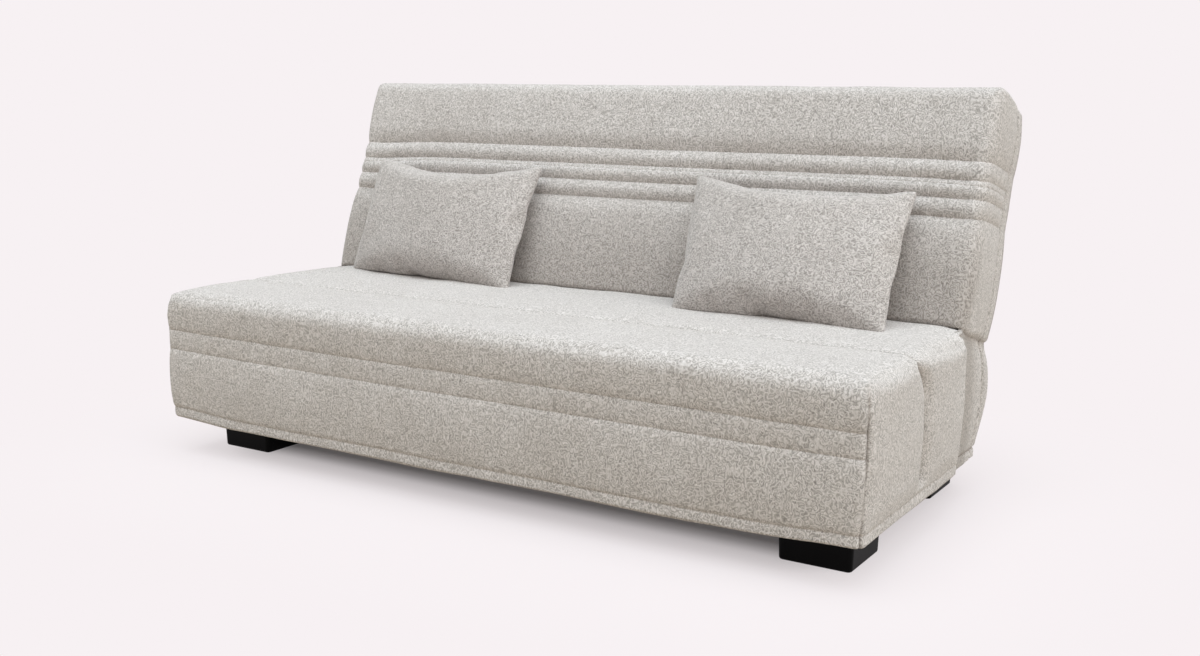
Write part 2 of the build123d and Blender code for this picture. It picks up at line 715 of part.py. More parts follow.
# The back's hinge plate: from the hinge eye, past the stop pin and roller, to the side rail
hinge_s = hinge_ahead * lean_sin - hinge_drop * lean_cos
roller_depth = hinge_drop + roller_reach
with BuildPart() as back_hinge_plate:
    with BuildSketch(back_section.offset(back_plate_inner)):
        with Locations((hinge_drop, hinge_s)):
            Circle(hinge_eye)
        with Locations((roller_depth, hinge_s)):
            Circle(2.4 * roller_radius)
        with Locations((back_rail_depth, (back_spots[0] + back_spots[1]) / 2)):
            Rectangle(frame_tube, back_spots[1] - back_spots[0] + frame_tube)
        make_hull()
        with Locations((front_wall + hinge_wall_gap, back_end_gap - hinge_wall_gap)):
            Rectangle(back_thickness, back_length, align=(Align.MAX, Align.MIN), mode=Mode.SUBTRACT)
        with Locations((hinge_drop, hinge_s)):
            Circle(hinge_bolt_radius + running_gap, mode=Mode.SUBTRACT)
        with Locations(*[(back_rail_depth, s) for s in back_spots]):
            Circle(plate_bolt_radius + running_gap, mode=Mode.SUBTRACT)
        with Locations((hinge_drop + stop_pin_reach, hinge_s)):
            Circle(stop_pin_radius + running_gap, mode=Mode.SUBTRACT)
        with Locations((roller_depth, hinge_s)):
            Circle(roller_radius / 2 + running_gap, mode=Mode.SUBTRACT)
    extrude(amount=hinge_plate)
save_pair(back_hinge_plate.part, "back_hinge_plate")

stop_heads = [(hinge_outer, hinge_outer + hinge_head)]
slide_pin = headed_pin(seat_plate_inner, hinge_outer, stop_pin_radius, 1.5 * stop_pin_radius, stop_heads)
roller_end = back_plate_inner - side_gap / 2
roller = headed_pin(roller_end, hinge_outer, roller_radius / 2, roller_radius, [(seat_plate_inner, roller_end)])
stop_place = hinge_point(stop_pin_reach, slot_from)
roller_place = hinge_point(roller_reach, slot_from)
detents = [Pos(0, *stop_place) * slide_pin, Pos(0, *roller_place) * roller]
save(group(detents + [mirror(pin, about=Plane.YZ) for pin in detents]), "back_stop_pins")

back_bolt_inner = back_rail_outer - tube_wall - plate_bolt_tail
back_plate_heads = [
    (back_rail_outer, back_plate_inner),
    (hinge_outer, hinge_outer + hinge_head),
]
back_plate_bolt = headed_pin(
    back_bolt_inner, hinge_outer, plate_bolt_radius, 2 * plate_bolt_radius, back_plate_heads
)
back_bolt_spots = [back_section.from_local_coords((back_rail_depth, s, 0)) for s in back_spots]
back_plate_bolts = [Pos(0, spot.Y, spot.Z) * back_plate_bolt for spot in back_bolt_spots]
save(group(back_plate_bolts + [mirror(bolt, about=Plane.YZ) for bolt in back_plate_bolts]), "back_hinge_bolts")

# Back upholstery: a channelled cover over front, top and sides, foam, and a plain rear panel
channels = [lower_panel_top + i * rib_pitch for i in range(rib_count + 1)]
with BuildPart() as back_form:
    with BuildSketch(back_section):
        with BuildLine():
            top_start = back_length - back_front_radius
            stations = [back_end_gap] + channels
            Line((back_thickness, back_end_gap), (back_panel_seam, back_end_gap))
            starts = [back_panel_seam] + [back_channel_depth] * len(channels)
            for i in range(len(stations) - 1):
                ThreePointArc(
                    (starts[i], stations[i]),
                    (0, (stations[i] + stations[i + 1]) / 2),
                    (starts[i + 1], stations[i + 1]),
                )
            bend = back_front_radius * arc_share
            ThreePointArc(
                (back_channel_depth, channels[-1]),
                (0, (channels[-1] + top_start) / 2),
                (bend / 2, top_start),
            )
            ThreePointArc(
                (bend / 2, top_start),
                (bend, back_length - bend),
                (back_front_radius, back_length),
            )
            Line((back_front_radius, back_length), (back_thickness - back_rear_radius, back_length))
            rear_bend = back_rear_radius * arc_share
            ThreePointArc(
                (back_thickness - back_rear_radius, back_length),
                (back_thickness - rear_bend, back_length - rear_bend),
                (back_thickness, back_length - back_rear_radius),
            )
            Line((back_thickness, back_length - back_rear_radius), (back_thickness, back_end_gap))
        make_face()
    extrude(amount=back_half, both=True)
    with BuildSketch(Plane(origin=back_face.origin, x_dir=(1, 0, 0), z_dir=back_face.y_dir)):
        with BuildLine():
            flat_half = back_half - back_corner_radius
            Line((0, 0), (flat_half, 0))
            side_bend = back_corner_radius * arc_share
            ThreePointArc(
                (flat_half, 0),
                (back_half - side_bend, side_bend),
                (back_half, back_corner_radius),
            )
            Line((back_half, back_corner_radius), (back_half, back_thickness))
            Line((back_half, back_thickness), (0, back_thickness))
            mirror(about=Plane.YZ)
        make_face()
    extrude(amount=back_length + back_front_radius, mode=Mode.INTERSECT)
    for s in channels:
        groove_start = back_face.from_local_coords((0, s, 0))
        with BuildSketch(Plane(origin=groove_start, x_dir=(1, 0, 0), z_dir=back_face.z_dir)):
            with Locations(*[(e * (back_half + side_channel_radius - side_channel_depth), 0) for e in (-1, 1)]):
                Circle(side_channel_radius)
        extrude(amount=-back_thickness, mode=Mode.SUBTRACT)

back_cavity_top = back_length - back_wall
with BuildPart() as back_front_cover:
    add(back_form.part)
    with BuildSketch(back_section):
        with Locations((front_wall, 0)):
            Rectangle(2 * back_thickness, back_cavity_top, align=(Align.MIN, Align.MIN))
    extrude(amount=back_inside, both=True, mode=Mode.SUBTRACT)
save(back_front_cover.part, "back_front_cover")

foam_back = back_frame_depth - slat_crown - soft_gap
with BuildPart() as back_mattress:
    with BuildSketch(back_section):
        with Locations((front_wall + soft_gap, back_end_gap)):
            Rectangle(
                foam_back - front_wall - soft_gap, back_cavity_top - back_end_gap - soft_gap,
                align=(Align.MIN, Align.MIN)
            )
    extrude(amount=foam_half, both=True)
save(back_mattress.part, "back_mattress")

panel_rear = back_thickness - rear_panel_inset
with BuildPart() as back_rear_panel:
    with BuildSketch(back_face.offset(-panel_rear)):
        with Locations((0, back_end_gap)):
            Rectangle(2 * (back_inside - soft_gap), back_length - rear_panel_margin - back_end_gap,
                      align=(Align.CENTER, Align.MIN))
    extrude(amount=rear_panel_thickness)
save(back_rear_panel.part, "back_rear_panel")

# Rear skirt: the last side section and the rear valance, one hanging piece of quilted cloth, and its batten
skirt_front = side_end + skirt_start_gap
skirt_outer = back_half
skirt_inner = back_half - skirt_thickness
skirt_levels = [
    (hem_height, skirt_rear_hem),
    ((hem_height + skirt_fold_height) / 2, (skirt_rear_hem + 3 * skirt_rear_fold) / 4),
    (skirt_fold_height, skirt_rear_fold),
    (seat_height - cover_wall / 2, skirt_rear_fold),
]
with BuildPart() as rear_skirt:
    for level, rear in skirt_levels:
        rear_y = y_front + rear
        side_y = rear_y - skirt_corner
        outer_bend = skirt_outer - skirt_corner
        inner_corner = skirt_corner - skirt_thickness
        rear_inner = rear_y - skirt_thickness
        with BuildSketch(Plane.XY.offset(level)):
            with BuildLine():
                Line((0, rear_y), (outer_bend, rear_y))
                ThreePointArc(
                    (outer_bend, rear_y),
                    (skirt_outer - arc_share * skirt_corner, rear_y - arc_share * skirt_corner),
                    (skirt_outer, side_y),
                )
                Line((skirt_outer, side_y), (skirt_outer, skirt_front))
                Line((skirt_outer, skirt_front), (skirt_inner, skirt_front))
                Line((skirt_inner, skirt_front), (skirt_inner, side_y))
                ThreePointArc(
                    (skirt_inner, side_y),
                    (skirt_inner - arc_share * inner_corner, rear_inner - arc_share * inner_corner),
                    (outer_bend, rear_inner),
                )
                Line((outer_bend, rear_inner), (0, rear_inner))
                mirror(about=Plane.YZ)
            make_face()
    loft()
    back_end = back_face.from_local_coords((0, back_end_gap - skirt_start_gap, 0))
    split(bisect_by=Plane(origin=back_end, x_dir=(1, 0, 0), z_dir=back_face.y_dir), keep=Keep.BOTTOM)
save(rear_skirt.part, "rear_skirt")

batten_y = y_front + skirt_rear_hem - skirt_thickness - batten_size / 2 + batten_past_hem
batten_plane = Plane(origin=(0, batten_y, base_top + batten_size / 2), x_dir=(0, 1, 0), z_dir=(1, 0, 0))
save(tube_along(batten_plane, 2 * (skirt_outer - 1.5 * skirt_corner), batten_size, batten_size), "skirt_batten")

# Cushions: loose, crowned, drawn in between their corners
cushion_stations = (-1.0, -0.68, 0.0, 0.68, 1.0)


def cushion(height, rear_crown):
    """Cushion about its own middle, standing upright and facing -Y."""
    with BuildPart() as piece:
        for station in cushion_stations:
            fullness = (1 - station**2) ** 0.6
            half_height = height / 2 - cushion_draw * (1 - station**2)
            front = cushion_edge + (cushion_front - cushion_edge) * fullness
            rear = cushion_edge + (rear_crown - cushion_edge) * fullness
            with BuildSketch(Plane.YZ.offset(station * cushion_width / 2)):
                with BuildLine():
                    ThreePointArc((0, -half_height), (-front, 0), (0, half_height))
                    ThreePointArc((0, half_height), (rear, 0), (0, -half_height))
                make_face()
        loft()
    return piece.part


cushion_places = {
    "left": {
        "side": -1,
        "from_end": 411.0,
        "from_back": 1.0,
        "lean": 25.5,
        "turn": -2.0,
        "height": 344.0,
        "rear": 40.0,
    },
    "right": {
        "side": 1,
        "from_end": 463.0,
        "from_back": 30.0,
        "lean": 33.0,
        "turn": -1.0,
        "height": 366.0,
        "rear": 50.0,
    },
}
for cushion_name, place in cushion_places.items():
    rise = place["height"] / 2 * math.cos(math.radians(place["lean"])) + soft_gap
    middle = place["side"] * (half_width - place["from_end"])
    spot = Pos(middle, y_crease - place["from_back"], seat_height + rise)
    turned = spot * Rot(0, 0, place["turn"]) * Rot(-place["lean"], 0, 0)
    save(turned * cushion(place["height"], place["rear"]), f"cushion_{cushion_name}")
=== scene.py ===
"""Sofa bed dressed for the eye: pile covers, channelled back, loose cushions, foam, skirt and finishes.

Metres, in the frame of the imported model: +X to the right, +Y to the rear, +Z up.
"""
import json
import math
from collections import namedtuple

import bmesh
import bpy
import numpy as np
from mathutils import Matrix, Vector


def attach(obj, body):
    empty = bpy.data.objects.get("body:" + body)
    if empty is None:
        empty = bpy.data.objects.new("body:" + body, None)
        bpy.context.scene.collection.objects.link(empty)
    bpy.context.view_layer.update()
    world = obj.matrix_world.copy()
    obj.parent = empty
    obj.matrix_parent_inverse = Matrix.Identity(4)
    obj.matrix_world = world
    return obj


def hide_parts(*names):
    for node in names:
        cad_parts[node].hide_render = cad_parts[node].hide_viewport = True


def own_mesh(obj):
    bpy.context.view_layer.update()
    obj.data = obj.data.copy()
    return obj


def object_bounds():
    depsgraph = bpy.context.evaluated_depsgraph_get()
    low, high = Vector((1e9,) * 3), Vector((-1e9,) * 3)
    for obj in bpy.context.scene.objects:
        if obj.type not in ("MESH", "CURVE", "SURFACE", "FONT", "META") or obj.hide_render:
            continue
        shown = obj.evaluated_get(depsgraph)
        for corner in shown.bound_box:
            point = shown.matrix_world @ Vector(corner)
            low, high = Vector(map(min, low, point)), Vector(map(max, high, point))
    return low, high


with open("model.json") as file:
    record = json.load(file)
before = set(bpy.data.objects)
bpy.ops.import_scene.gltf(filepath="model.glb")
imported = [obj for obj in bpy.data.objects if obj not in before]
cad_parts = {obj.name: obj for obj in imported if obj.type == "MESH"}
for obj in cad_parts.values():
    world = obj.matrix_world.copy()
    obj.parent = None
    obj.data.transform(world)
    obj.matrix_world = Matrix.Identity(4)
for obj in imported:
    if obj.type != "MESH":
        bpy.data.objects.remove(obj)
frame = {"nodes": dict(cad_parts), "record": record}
cad_low, cad_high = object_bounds()
nodes = frame["nodes"]

# Main places of the sofa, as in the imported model
front_y = cad_low.y
half_width = 0.975
seat_top = 0.437
hem_bottom = 0.100
seat_depth = 0.646
crease_y = front_y + seat_depth
back_half = 0.955
back_length = 0.585
back_depth = 0.200
back_lean = math.radians(20.0)
up_back = Vector((0, math.sin(back_lean), math.cos(back_lean)))
into_back = Vector((0, math.cos(back_lean), -math.sin(back_lean)))
crease = Vector((0, crease_y, seat_top))

# How near two places count as one, from the finest to the coarsest
tiny = 1e-9
hair = 1e-6
touch = 1e-5
clear = 1e-4
least_step = 5e-4


# Cutting and shaping of soft pieces

def cell_block(columns, rows, levels, left_out=()):
    """Block over a plan of cells, less those left out, drawn up from the first level to the second."""
    bm = bmesh.new()
    bmesh.ops.create_grid(bm, x_segments=len(columns) - 1, y_segments=len(rows) - 1, size=1)
    for v in bm.verts:
        column = round((v.co.x + 1) / 2 * (len(columns) - 1))
        row = round((v.co.y + 1) / 2 * (len(rows) - 1))
        v.co = (columns[column], rows[row], levels[0])
    spare = []
    for face in bm.faces:
        middle = face.calc_center_median()
        for x_span, y_span in left_out:
            if x_span[0] < middle.x < x_span[1] and y_span[0] < middle.y < y_span[1]:
                spare.append(face)
    bmesh.ops.delete(bm, geom=spare, context="FACES")
    drawn = bmesh.ops.extrude_face_region(bm, geom=bm.faces[:])
    lifted = [item for item in drawn["geom"] if isinstance(item, bmesh.types.BMVert)]
    bmesh.ops.translate(bm, vec=(0, 0, levels[1] - levels[0]), verts=lifted)
    bmesh.ops.recalc_face_normals(bm, faces=bm.faces[:])
    return bm


def cut_between(bm, axis, spots):
    """Cut each edge that runs from the first spot to the last, at the spots between."""
    low, high, count = spots[0], spots[-1], len(spots) - 2
    if count < 1:
        return

    def spans(edge):
        ends = sorted(v.co[axis] for v in edge.verts)
        return abs(ends[0] - low) < touch and abs(ends[1] - high) < touch
    rungs = [edge for edge in bm.edges if spans(edge)]
    bmesh.ops.subdivide_edges(bm, edges=rungs, cuts=count, use_grid_fill=True)
    for v in bm.verts:
        if low + touch < v.co[axis] < high - touch:
            v.co[axis] = spots[round((v.co[axis] - low) / (high - low) * (count + 1))]


beside_seam = (0.0015, 0.004, 0.008, 0.014)
round_shares = (0.1, 0.22, 0.36, 0.5, 0.66, 0.83, 1.0)


def spots_between(low, high, step, seams=(), low_round=0.0, high_round=0.0):
    """Places for cuts: an even step, closer beside each seam and over a rounded edge at either end."""
    close = [low + low_round * share for share in round_shares if low_round]
    close += [high - high_round * share for share in round_shares if high_round]
    for seam in seams:
        close += [seam] + [seam + side * gap for gap in beside_seam for side in (-1, 1)]
    close = sorted({round(spot, 5) for spot in close if low + least_step < spot < high - least_step})
    marks = [low] + close + [high]
    spots = []
    for start, end in zip(marks, marks[1:]):
        count = max(1, math.ceil((end - start) / step - 0.2))
        spots += [start + (end - start) * i / count for i in range(count)]
    return spots + [high]


def points_of(bm):
    return np.array([v.co for v in bm.verts], float)


def set_points(bm, points):
    for v, point in zip(bm.verts, points):
        v.co = point


def outward(bm):
    bm.normal_update()
    return np.array([v.normal for v in bm.verts], float)


def ease(t):
    """Smooth step from 0 to 1."""
    t = np.clip(t, 0, 1)
    return t * t * (3 - 2 * t)


def rising(t, start, reach):
    """Smooth step from 0 at start to 1 a reach further on."""
    return ease((t - start) / reach)


def valley(t, depth, reach):
    """Sewn line: two rounded shoulders that meet in a crease."""
    return -depth * np.clip(1 - np.abs(t) / reach, 0, 1) ** 2


def crown(t, low, high, height):
    """Swell of the padding between two sewn lines."""
    share = np.clip((t - low) / (high - low), 0, 1)
    return height * (1 - (2 * share - 1) ** 2)


def uneven(points, size, amount, turn):
    """Soft unevenness of filled cloth, from a few crossing waves."""
    total = 0
    for k in range(4):
        angle = turn + 1.9 * k
        way = np.array([math.cos(angle), math.sin(angle) * 0.8, math.sin(angle * 1.7)])
        total = total + np.sin(points @ way * (2 * math.pi / size) * (1 + 0.37 * k) + 2.3 * k + turn)
    return amount * total / 4


def puckers(along, away, size, amount, reach):
    """Small gathers across a sewn line, dying away from it."""
    wander = 1.7 * np.sin(along * 9.1)
    strength = 0.6 + 0.4 * np.sin(along * 23.0)
    wave = np.sin(2 * math.pi * along / size + wander) * strength
    return amount * wave * np.exp(-np.abs(away) / reach)


# A sewn line: its hollow, the finer crease of the thread in it, and the painted shade darkening its
# crease
Seam = namedtuple("Seam", "depth reach thread thread_reach mark mark_reach")


def sew(away, seam, where=1.0):
    """Hollow and painted shade of a sewn line at each distance away from it."""
    hollow = valley(away, seam.depth, seam.reach) + valley(away, seam.thread, seam.thread_reach)
    mark = seam.mark * np.clip(1 - np.abs(away) / seam.mark_reach, 0, 1)
    return where * hollow, where * mark


def round_plan(points, corner, inward, radius):
    """Round one upright corner of a plan; inward holds the signs of its two inward directions."""
    x_gap = (points[:, 0] - corner[0]) * inward[0]
    y_gap = (points[:, 1] - corner[1]) * inward[1]
    near = (x_gap < radius) & (y_gap < radius) & (x_gap > -hair) & (y_gap > -hair)
    dx, dy = x_gap - radius, y_gap - radius
    share = np.maximum(np.abs(dx), np.abs(dy)) / np.maximum(np.hypot(dx, dy), tiny)
    out = points.copy()
    out[near, 0] = corner[0] + inward[0] * (radius + dx * share)[near]
    out[near, 1] = corner[1] + inward[1] * (radius + dy * share)[near]
    return out


def round_edge(gap, drop, radius):
    """Round the edge between a wall (gap 0) and a top (drop 0); gives the moves along both."""
    near = (gap < radius) & (drop < radius) & (gap > -hair) & (drop > -hair)
    dg, dd = gap - radius, drop - radius
    share = np.maximum(np.abs(dg), np.abs(dd)) / np.maximum(np.hypot(dg, dd), tiny)
    return np.where(near, dg * share - dg, 0.0), np.where(near, dd * share - dd, 0.0)


def soften(bm, verts, rounds):
    """Ease out small bends."""
    for _ in range(rounds):
        bmesh.ops.smooth_vert(
            bm, verts=verts, factor=0.5, use_axis_x=True, use_axis_y=True, use_axis_z=True
        )


def applied_mesh(piece):
    """Mesh of a piece with its modifiers applied."""
    return bpy.data.meshes.new_from_object(piece.evaluated_get(bpy.context.evaluated_depsgraph_get()))


def make_piece(name, bm, finish, body, painted_shade_marks=None):
    """Finished object at the origin, riding on its body, with its painted shade kept as the crease
    attribute.
    """
    mesh = bpy.data.meshes.new(name)
    bm.normal_update()
    bm.to_mesh(mesh)
    bm.free()
    for polygon in mesh.polygons:
        polygon.use_smooth = True
    if painted_shade_marks is not None:
        marks = mesh.attributes.new("crease", "FLOAT", "POINT")
        marks.data.foreach_set("value", np.asarray(painted_shade_marks, np.float32))
    piece = bpy.data.objects.new(name, mesh)
    bpy.context.scene.collection.objects.link(piece)
    piece.data.materials.append(finish)
    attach(piece, body)
    return piece


def thicken(piece, wall):
    """Cloth and wadding behind the face, so that the open edges have a real thickness."""
    shell = piece.modifiers.new("wall", "SOLIDIFY")
    shell.thickness = wall
    shell.offset = -1
    shell.use_even_offset = False


# Finishes

def new_finish(name):
    finish = bpy.data.materials.new(name)
    finish.use_nodes = True
    tree = finish.node_tree
    return finish, tree, tree.nodes["Principled BSDF"]


def add_node(tree, kind, **settings):
    node = tree.nodes.new(kind)
    for key, value in settings.items():
        if key in node.inputs:
            node.inputs[key].default_value = value
        else:
            setattr(node, key, value)
    return node


def noise(tree, where, scale, detail, distortion=0.0, roughness=0.55):
    node = add_node(
        tree, "ShaderNodeTexNoise",
        Scale=scale, Detail=detail, Distortion=distortion, Roughness=roughness,
    )
    tree.links.new(where, node.inputs["Vector"])
    return node.outputs["Fac"]


def ramp(tree, source, stops):
    node = tree.nodes.new("ShaderNodeValToRGB")
    while len(node.color_ramp.elements) < len(stops):
        node.color_ramp.elements.new(0.5)
    for element, (place, colour) in zip(node.color_ramp.elements, stops):
        element.position = place
        element.color = (*colour, 1)
    tree.links.new(source, node.inputs["Fac"])
    return node.outputs["Color"]


def put(tree, value, socket):
    """Link a socket to another, or set its value."""
    if isinstance(value, bpy.types.NodeSocket):
        tree.links.new(value, socket)
    else:
        socket.default_value = value


def blend_colour(tree, how, factor, first, second):
    node = add_node(tree, "ShaderNodeMix", data_type="RGBA", blend_type=how)
    for value, place in ((factor, 0), (first, 6), (second, 7)):
        put(tree, value, node.inputs[place])
    return node.outputs[2]


def reckon(tree, operation, *values, kind="ShaderNodeMath", result=0):
    """Sum worked out by a node from links and plain values."""
    node = add_node(tree, kind, operation=operation)
    for value, socket in zip(values, node.inputs):
        put(tree, value, socket)
    return node.outputs[result]


def to_range(tree, source, low, high):
    node = add_node(tree, "ShaderNodeMapRange")
    node.inputs["To Min"].default_value = low
    node.inputs["To Max"].default_value = high
    tree.links.new(source, node.inputs["Value"])
    return node.outputs["Result"]


def raise_bumps(tree, shader, heights):
    """Chain of bumps, each (source, strength, distance)."""
    previous = None
    for source, strength, distance in heights:
        bump = add_node(tree, "ShaderNodeBump", Strength=strength, Distance=distance)
        tree.links.new(source, bump.inputs["Height"])
        if previous:
            tree.links.new(previous, bump.inputs["Normal"])
        previous = bump.outputs["Normal"]
    tree.links.new(previous, shader.inputs["Normal"])


def curl(tree, slow, fine, turns, stir):
    """Curling strands, from -1 to 1: the contour lines of a slow field, stirred by a fine one."""
    stirred = reckon(tree, "MULTIPLY", fine, stir)
    phase = reckon(tree, "MULTIPLY_ADD", slow, turns, stirred)
    return reckon(tree, "SINE", phase)


fleck_scale = 330.0
fleck_range = (0.18, 0.82)
clump_scale = 95.0
nap_scale = 5.0
curl_turns = 24.0
curl_stir = 5.0
curl_share = 0.10
# Tint multiplied in where the crease attribute is set: painted shade in creases, grooves and low parts.
painted_shade_tint = (0.66, 0.63, 0.60, 1)


def pile_fabric(name, dark, middle, light, stroke):
    """Short curly pile: strands among flecks drawn out by stroke, clumps, a slow change of nap, and
    painted shade.
    """
    finish, tree, shader = new_finish(name)
    where = add_node(tree, "ShaderNodeTexCoord").outputs["Object"]
    drawn = add_node(tree, "ShaderNodeMapping")
    drawn.inputs["Scale"].default_value = stroke
    tree.links.new(where, drawn.inputs["Vector"])
    specks = noise(tree, drawn.outputs["Vector"], fleck_scale, 3.0, distortion=1.1, roughness=0.62)
    strands = curl(tree, noise(tree, where, clump_scale, 0.0), specks, curl_turns, curl_stir)
    flecks = reckon(tree, "MULTIPLY_ADD", strands, curl_share, to_range(tree, specks, *fleck_range))
    clumps = noise(tree, where, clump_scale, 2.0, distortion=0.6)
    nap = noise(tree, where, nap_scale, 2.0)
    colour = ramp(tree, flecks, [(0.25, dark), (0.50, middle), (0.75, light)])
    clumped = ramp(tree, clumps, [(0.30, (0.88, 0.88, 0.88)), (0.70, (1.0, 1.0, 1.0))])
    napped = ramp(tree, nap, [(0.30, (0.95, 0.945, 0.94)), (0.70, (1.0, 1.0, 1.0))])
    colour = blend_colour(tree, "MULTIPLY", 1.0, colour, clumped)
    colour = blend_colour(tree, "MULTIPLY", 1.0, colour, napped)
    # Painted shade: the crease attribute darkens the colour towards the shade tint.
    painted_shade_share = add_node(tree, "ShaderNodeAttribute", attribute_name="crease").outputs["Fac"]
    colour = blend_colour(tree, "MULTIPLY", painted_shade_share, colour, painted_shade_tint)
    tree.links.new(colour, shader.inputs["Base Color"])
    tree.links.new(to_range(tree, flecks, 0.86, 1.0), shader.inputs["Roughness"])
    shader.inputs["Sheen Weight"].default_value = 0.40
    shader.inputs["Sheen Roughness"].default_value = 0.6
    shader.inputs["Specular IOR Level"].default_value = 0.15
    raise_bumps(tree, shader, [(clumps, 0.25, 0.004), (flecks, 0.42, 0.0025)])
    return finish


def woven_lining(name, dark, light):
    """Plain close weave for the rear."""
    finish, tree, shader = new_finish(name)
    where = add_node(tree, "ShaderNodeTexCoord").outputs["Object"]
    across = add_node(tree, "ShaderNodeTexWave", bands_direction="X", Scale=260.0, Distortion=0.6)
    along = add_node(tree, "ShaderNodeTexWave", bands_direction="Z", Scale=260.0, Distortion=0.6)
    for threads in (across, along):
        tree.links.new(where, threads.inputs["Vector"])
    weave = blend_colour(tree, "MULTIPLY", 1.0, across.outputs["Color"], along.outputs["Color"])
    slubs = noise(tree, where, 40.0, 3.0)
    colour = ramp(tree, slubs, [(0.3, dark), (0.7, light)])
    shade = ramp(tree, weave, [(0.0, (0.8, 0.8, 0.8)), (0.5, (1.0, 1.0, 1.0))])
    tree.links.new(blend_colour(tree, "MULTIPLY", 1.0, colour, shade), shader.inputs["Base Color"])
    tree.links.new(to_range(tree, slubs, 0.8, 0.95), shader.inputs["Roughness"])
    raise_bumps(tree, shader, [(weave, 0.3, 0.0008)])
    return finish


def open_foam(name):
    """Cut foam: pores, and a slight yellowing in patches."""
    finish, tree, shader = new_finish(name)
    where = add_node(tree, "ShaderNodeTexCoord").outputs["Object"]
    pores = add_node(tree, "ShaderNodeTexVoronoi", Scale=420.0)
    tree.links.new(where, pores.inputs["Vector"])
    patches = noise(tree, where, 9.0, 3.0)
    colour = ramp(tree, patches, [(0.3, (0.72, 0.66, 0.50)), (0.7, (0.80, 0.76, 0.64))])
    tree.links.new(colour, shader.inputs["Base Color"])
    tree.links.new(to_range(tree, patches, 0.85, 0.98), shader.inputs["Roughness"])
    raise_bumps(tree, shader, [(pores.outputs["Distance"], 0.5, 0.0015)])
    return finish


def bent_ply(name):
    """Beech ply slats: long grain along the slat, fine pores, satin lacquer."""
    finish, tree, shader = new_finish(name)
    where = add_node(tree, "ShaderNodeTexCoord").outputs["Object"]
    stretch = add_node(tree, "ShaderNodeMapping")
    stretch.inputs["Scale"].default_value = (60.0, 6.0, 60.0)
    tree.links.new(where, stretch.inputs["Vector"])
    grain = noise(tree, stretch.outputs["Vector"], 1.6, 6.0, 0.8)
    pores = noise(tree, stretch.outputs["Vector"], 9.0, 3.0)
    grain_shades = [(0.25, (0.52, 0.34, 0.18)), (0.5, (0.66, 0.47, 0.27)), (0.75, (0.74, 0.56, 0.35))]
    colour = ramp(tree, grain, grain_shades)
    fine = ramp(tree, pores, [(0.3, (0.86, 0.84, 0.80)), (0.6, (1.0, 1.0, 1.0))])
    tree.links.new(blend_colour(tree, "MULTIPLY", 1.0, colour, fine), shader.inputs["Base Color"])
    tree.links.new(to_range(tree, grain, 0.38, 0.55), shader.inputs["Roughness"])
    raise_bumps(tree, shader, [(pores, 0.15, 0.0006)])
    return finish


def hard_finish(name, dark, light, metal, rough, grain_scale, bump, gloss=0.5):
    """Moulded plastic, powder coat or plated steel: two near shades, a fine skin and uneven gloss."""
    finish, tree, shader = new_finish(name)
    where = add_node(tree, "ShaderNodeTexCoord").outputs["Object"]
    skin = noise(tree, where, grain_scale, 2.0)
    wear = noise(tree, where, 14.0, 4.0, 0.4)
    tree.links.new(ramp(tree, wear, [(0.35, dark), (0.7, light)]), shader.inputs["Base Color"])
    tree.links.new(to_range(tree, wear, *rough), shader.inputs["Roughness"])
    shader.inputs["Metallic"].default_value = metal
    shader.inputs["Specular IOR Level"].default_value = gloss
    raise_bumps(tree, shader, [(skin, bump, 0.0006)])
    return finish


pile_shades = ((0.193, 0.176, 0.162), (0.633, 0.594, 0.570), (0.96, 0.922, 0.918))
cover_fabric = pile_fabric("cover_fabric", *pile_shades, (1.0, 1.0, 0.55))
# The cushions' pile is the cover's with its own stroke; its tones are set darker as painted shade for
# the dimmer light on the cushions.
cushion_shades_painted_darker = ((0.157, 0.140, 0.129), (0.530, 0.489, 0.464), (0.840, 0.794, 0.778))
cushion_fabric_painted_darker = pile_fabric("cushion_fabric_painted_darker", *cushion_shades_painted_darker, (0.6, 1.0, 1.0))
rear_cloth = woven_lining("rear_cloth", (0.36, 0.345, 0.32), (0.44, 0.42, 0.39))
foam = open_foam("foam")
slat_wood = bent_ply("slat_wood")
black_plastic = hard_finish(
    "black_plastic", (0.002, 0.002, 0.002), (0.005, 0.005, 0.005),
    metal=0.0, rough=(0.38, 0.52), grain_scale=700.0, bump=0.08, gloss=0.06,
)
frame_steel = hard_finish(
    "frame_steel", (0.022, 0.022, 0.024), (0.035, 0.035, 0.037),
    metal=0.0, rough=(0.42, 0.6), grain_scale=900.0, bump=0.25,
)
zinc_steel = hard_finish(
    "zinc_steel", (0.50, 0.50, 0.49), (0.68, 0.68, 0.67),
    metal=1.0, rough=(0.28, 0.45), grain_scale=500.0, bump=0.1,
)
finishes = {
    "cover_fabric": cover_fabric,
    "rear_cloth": rear_cloth,
    "foam": foam,
    "slat_wood": slat_wood,
    "black_plastic": black_plastic,
    "frame_steel": frame_steel,
    "zinc_steel": zinc_steel,
}
for part in frame["record"]["subparts"]:
    node = nodes[part["node"]]
    node.data.materials.clear()
    node.data.materials.append(finishes[part["material_slot"]])


# Seat cover: one sewn cover with front stitches, a cross seam, side grooves, corner seams and a hem

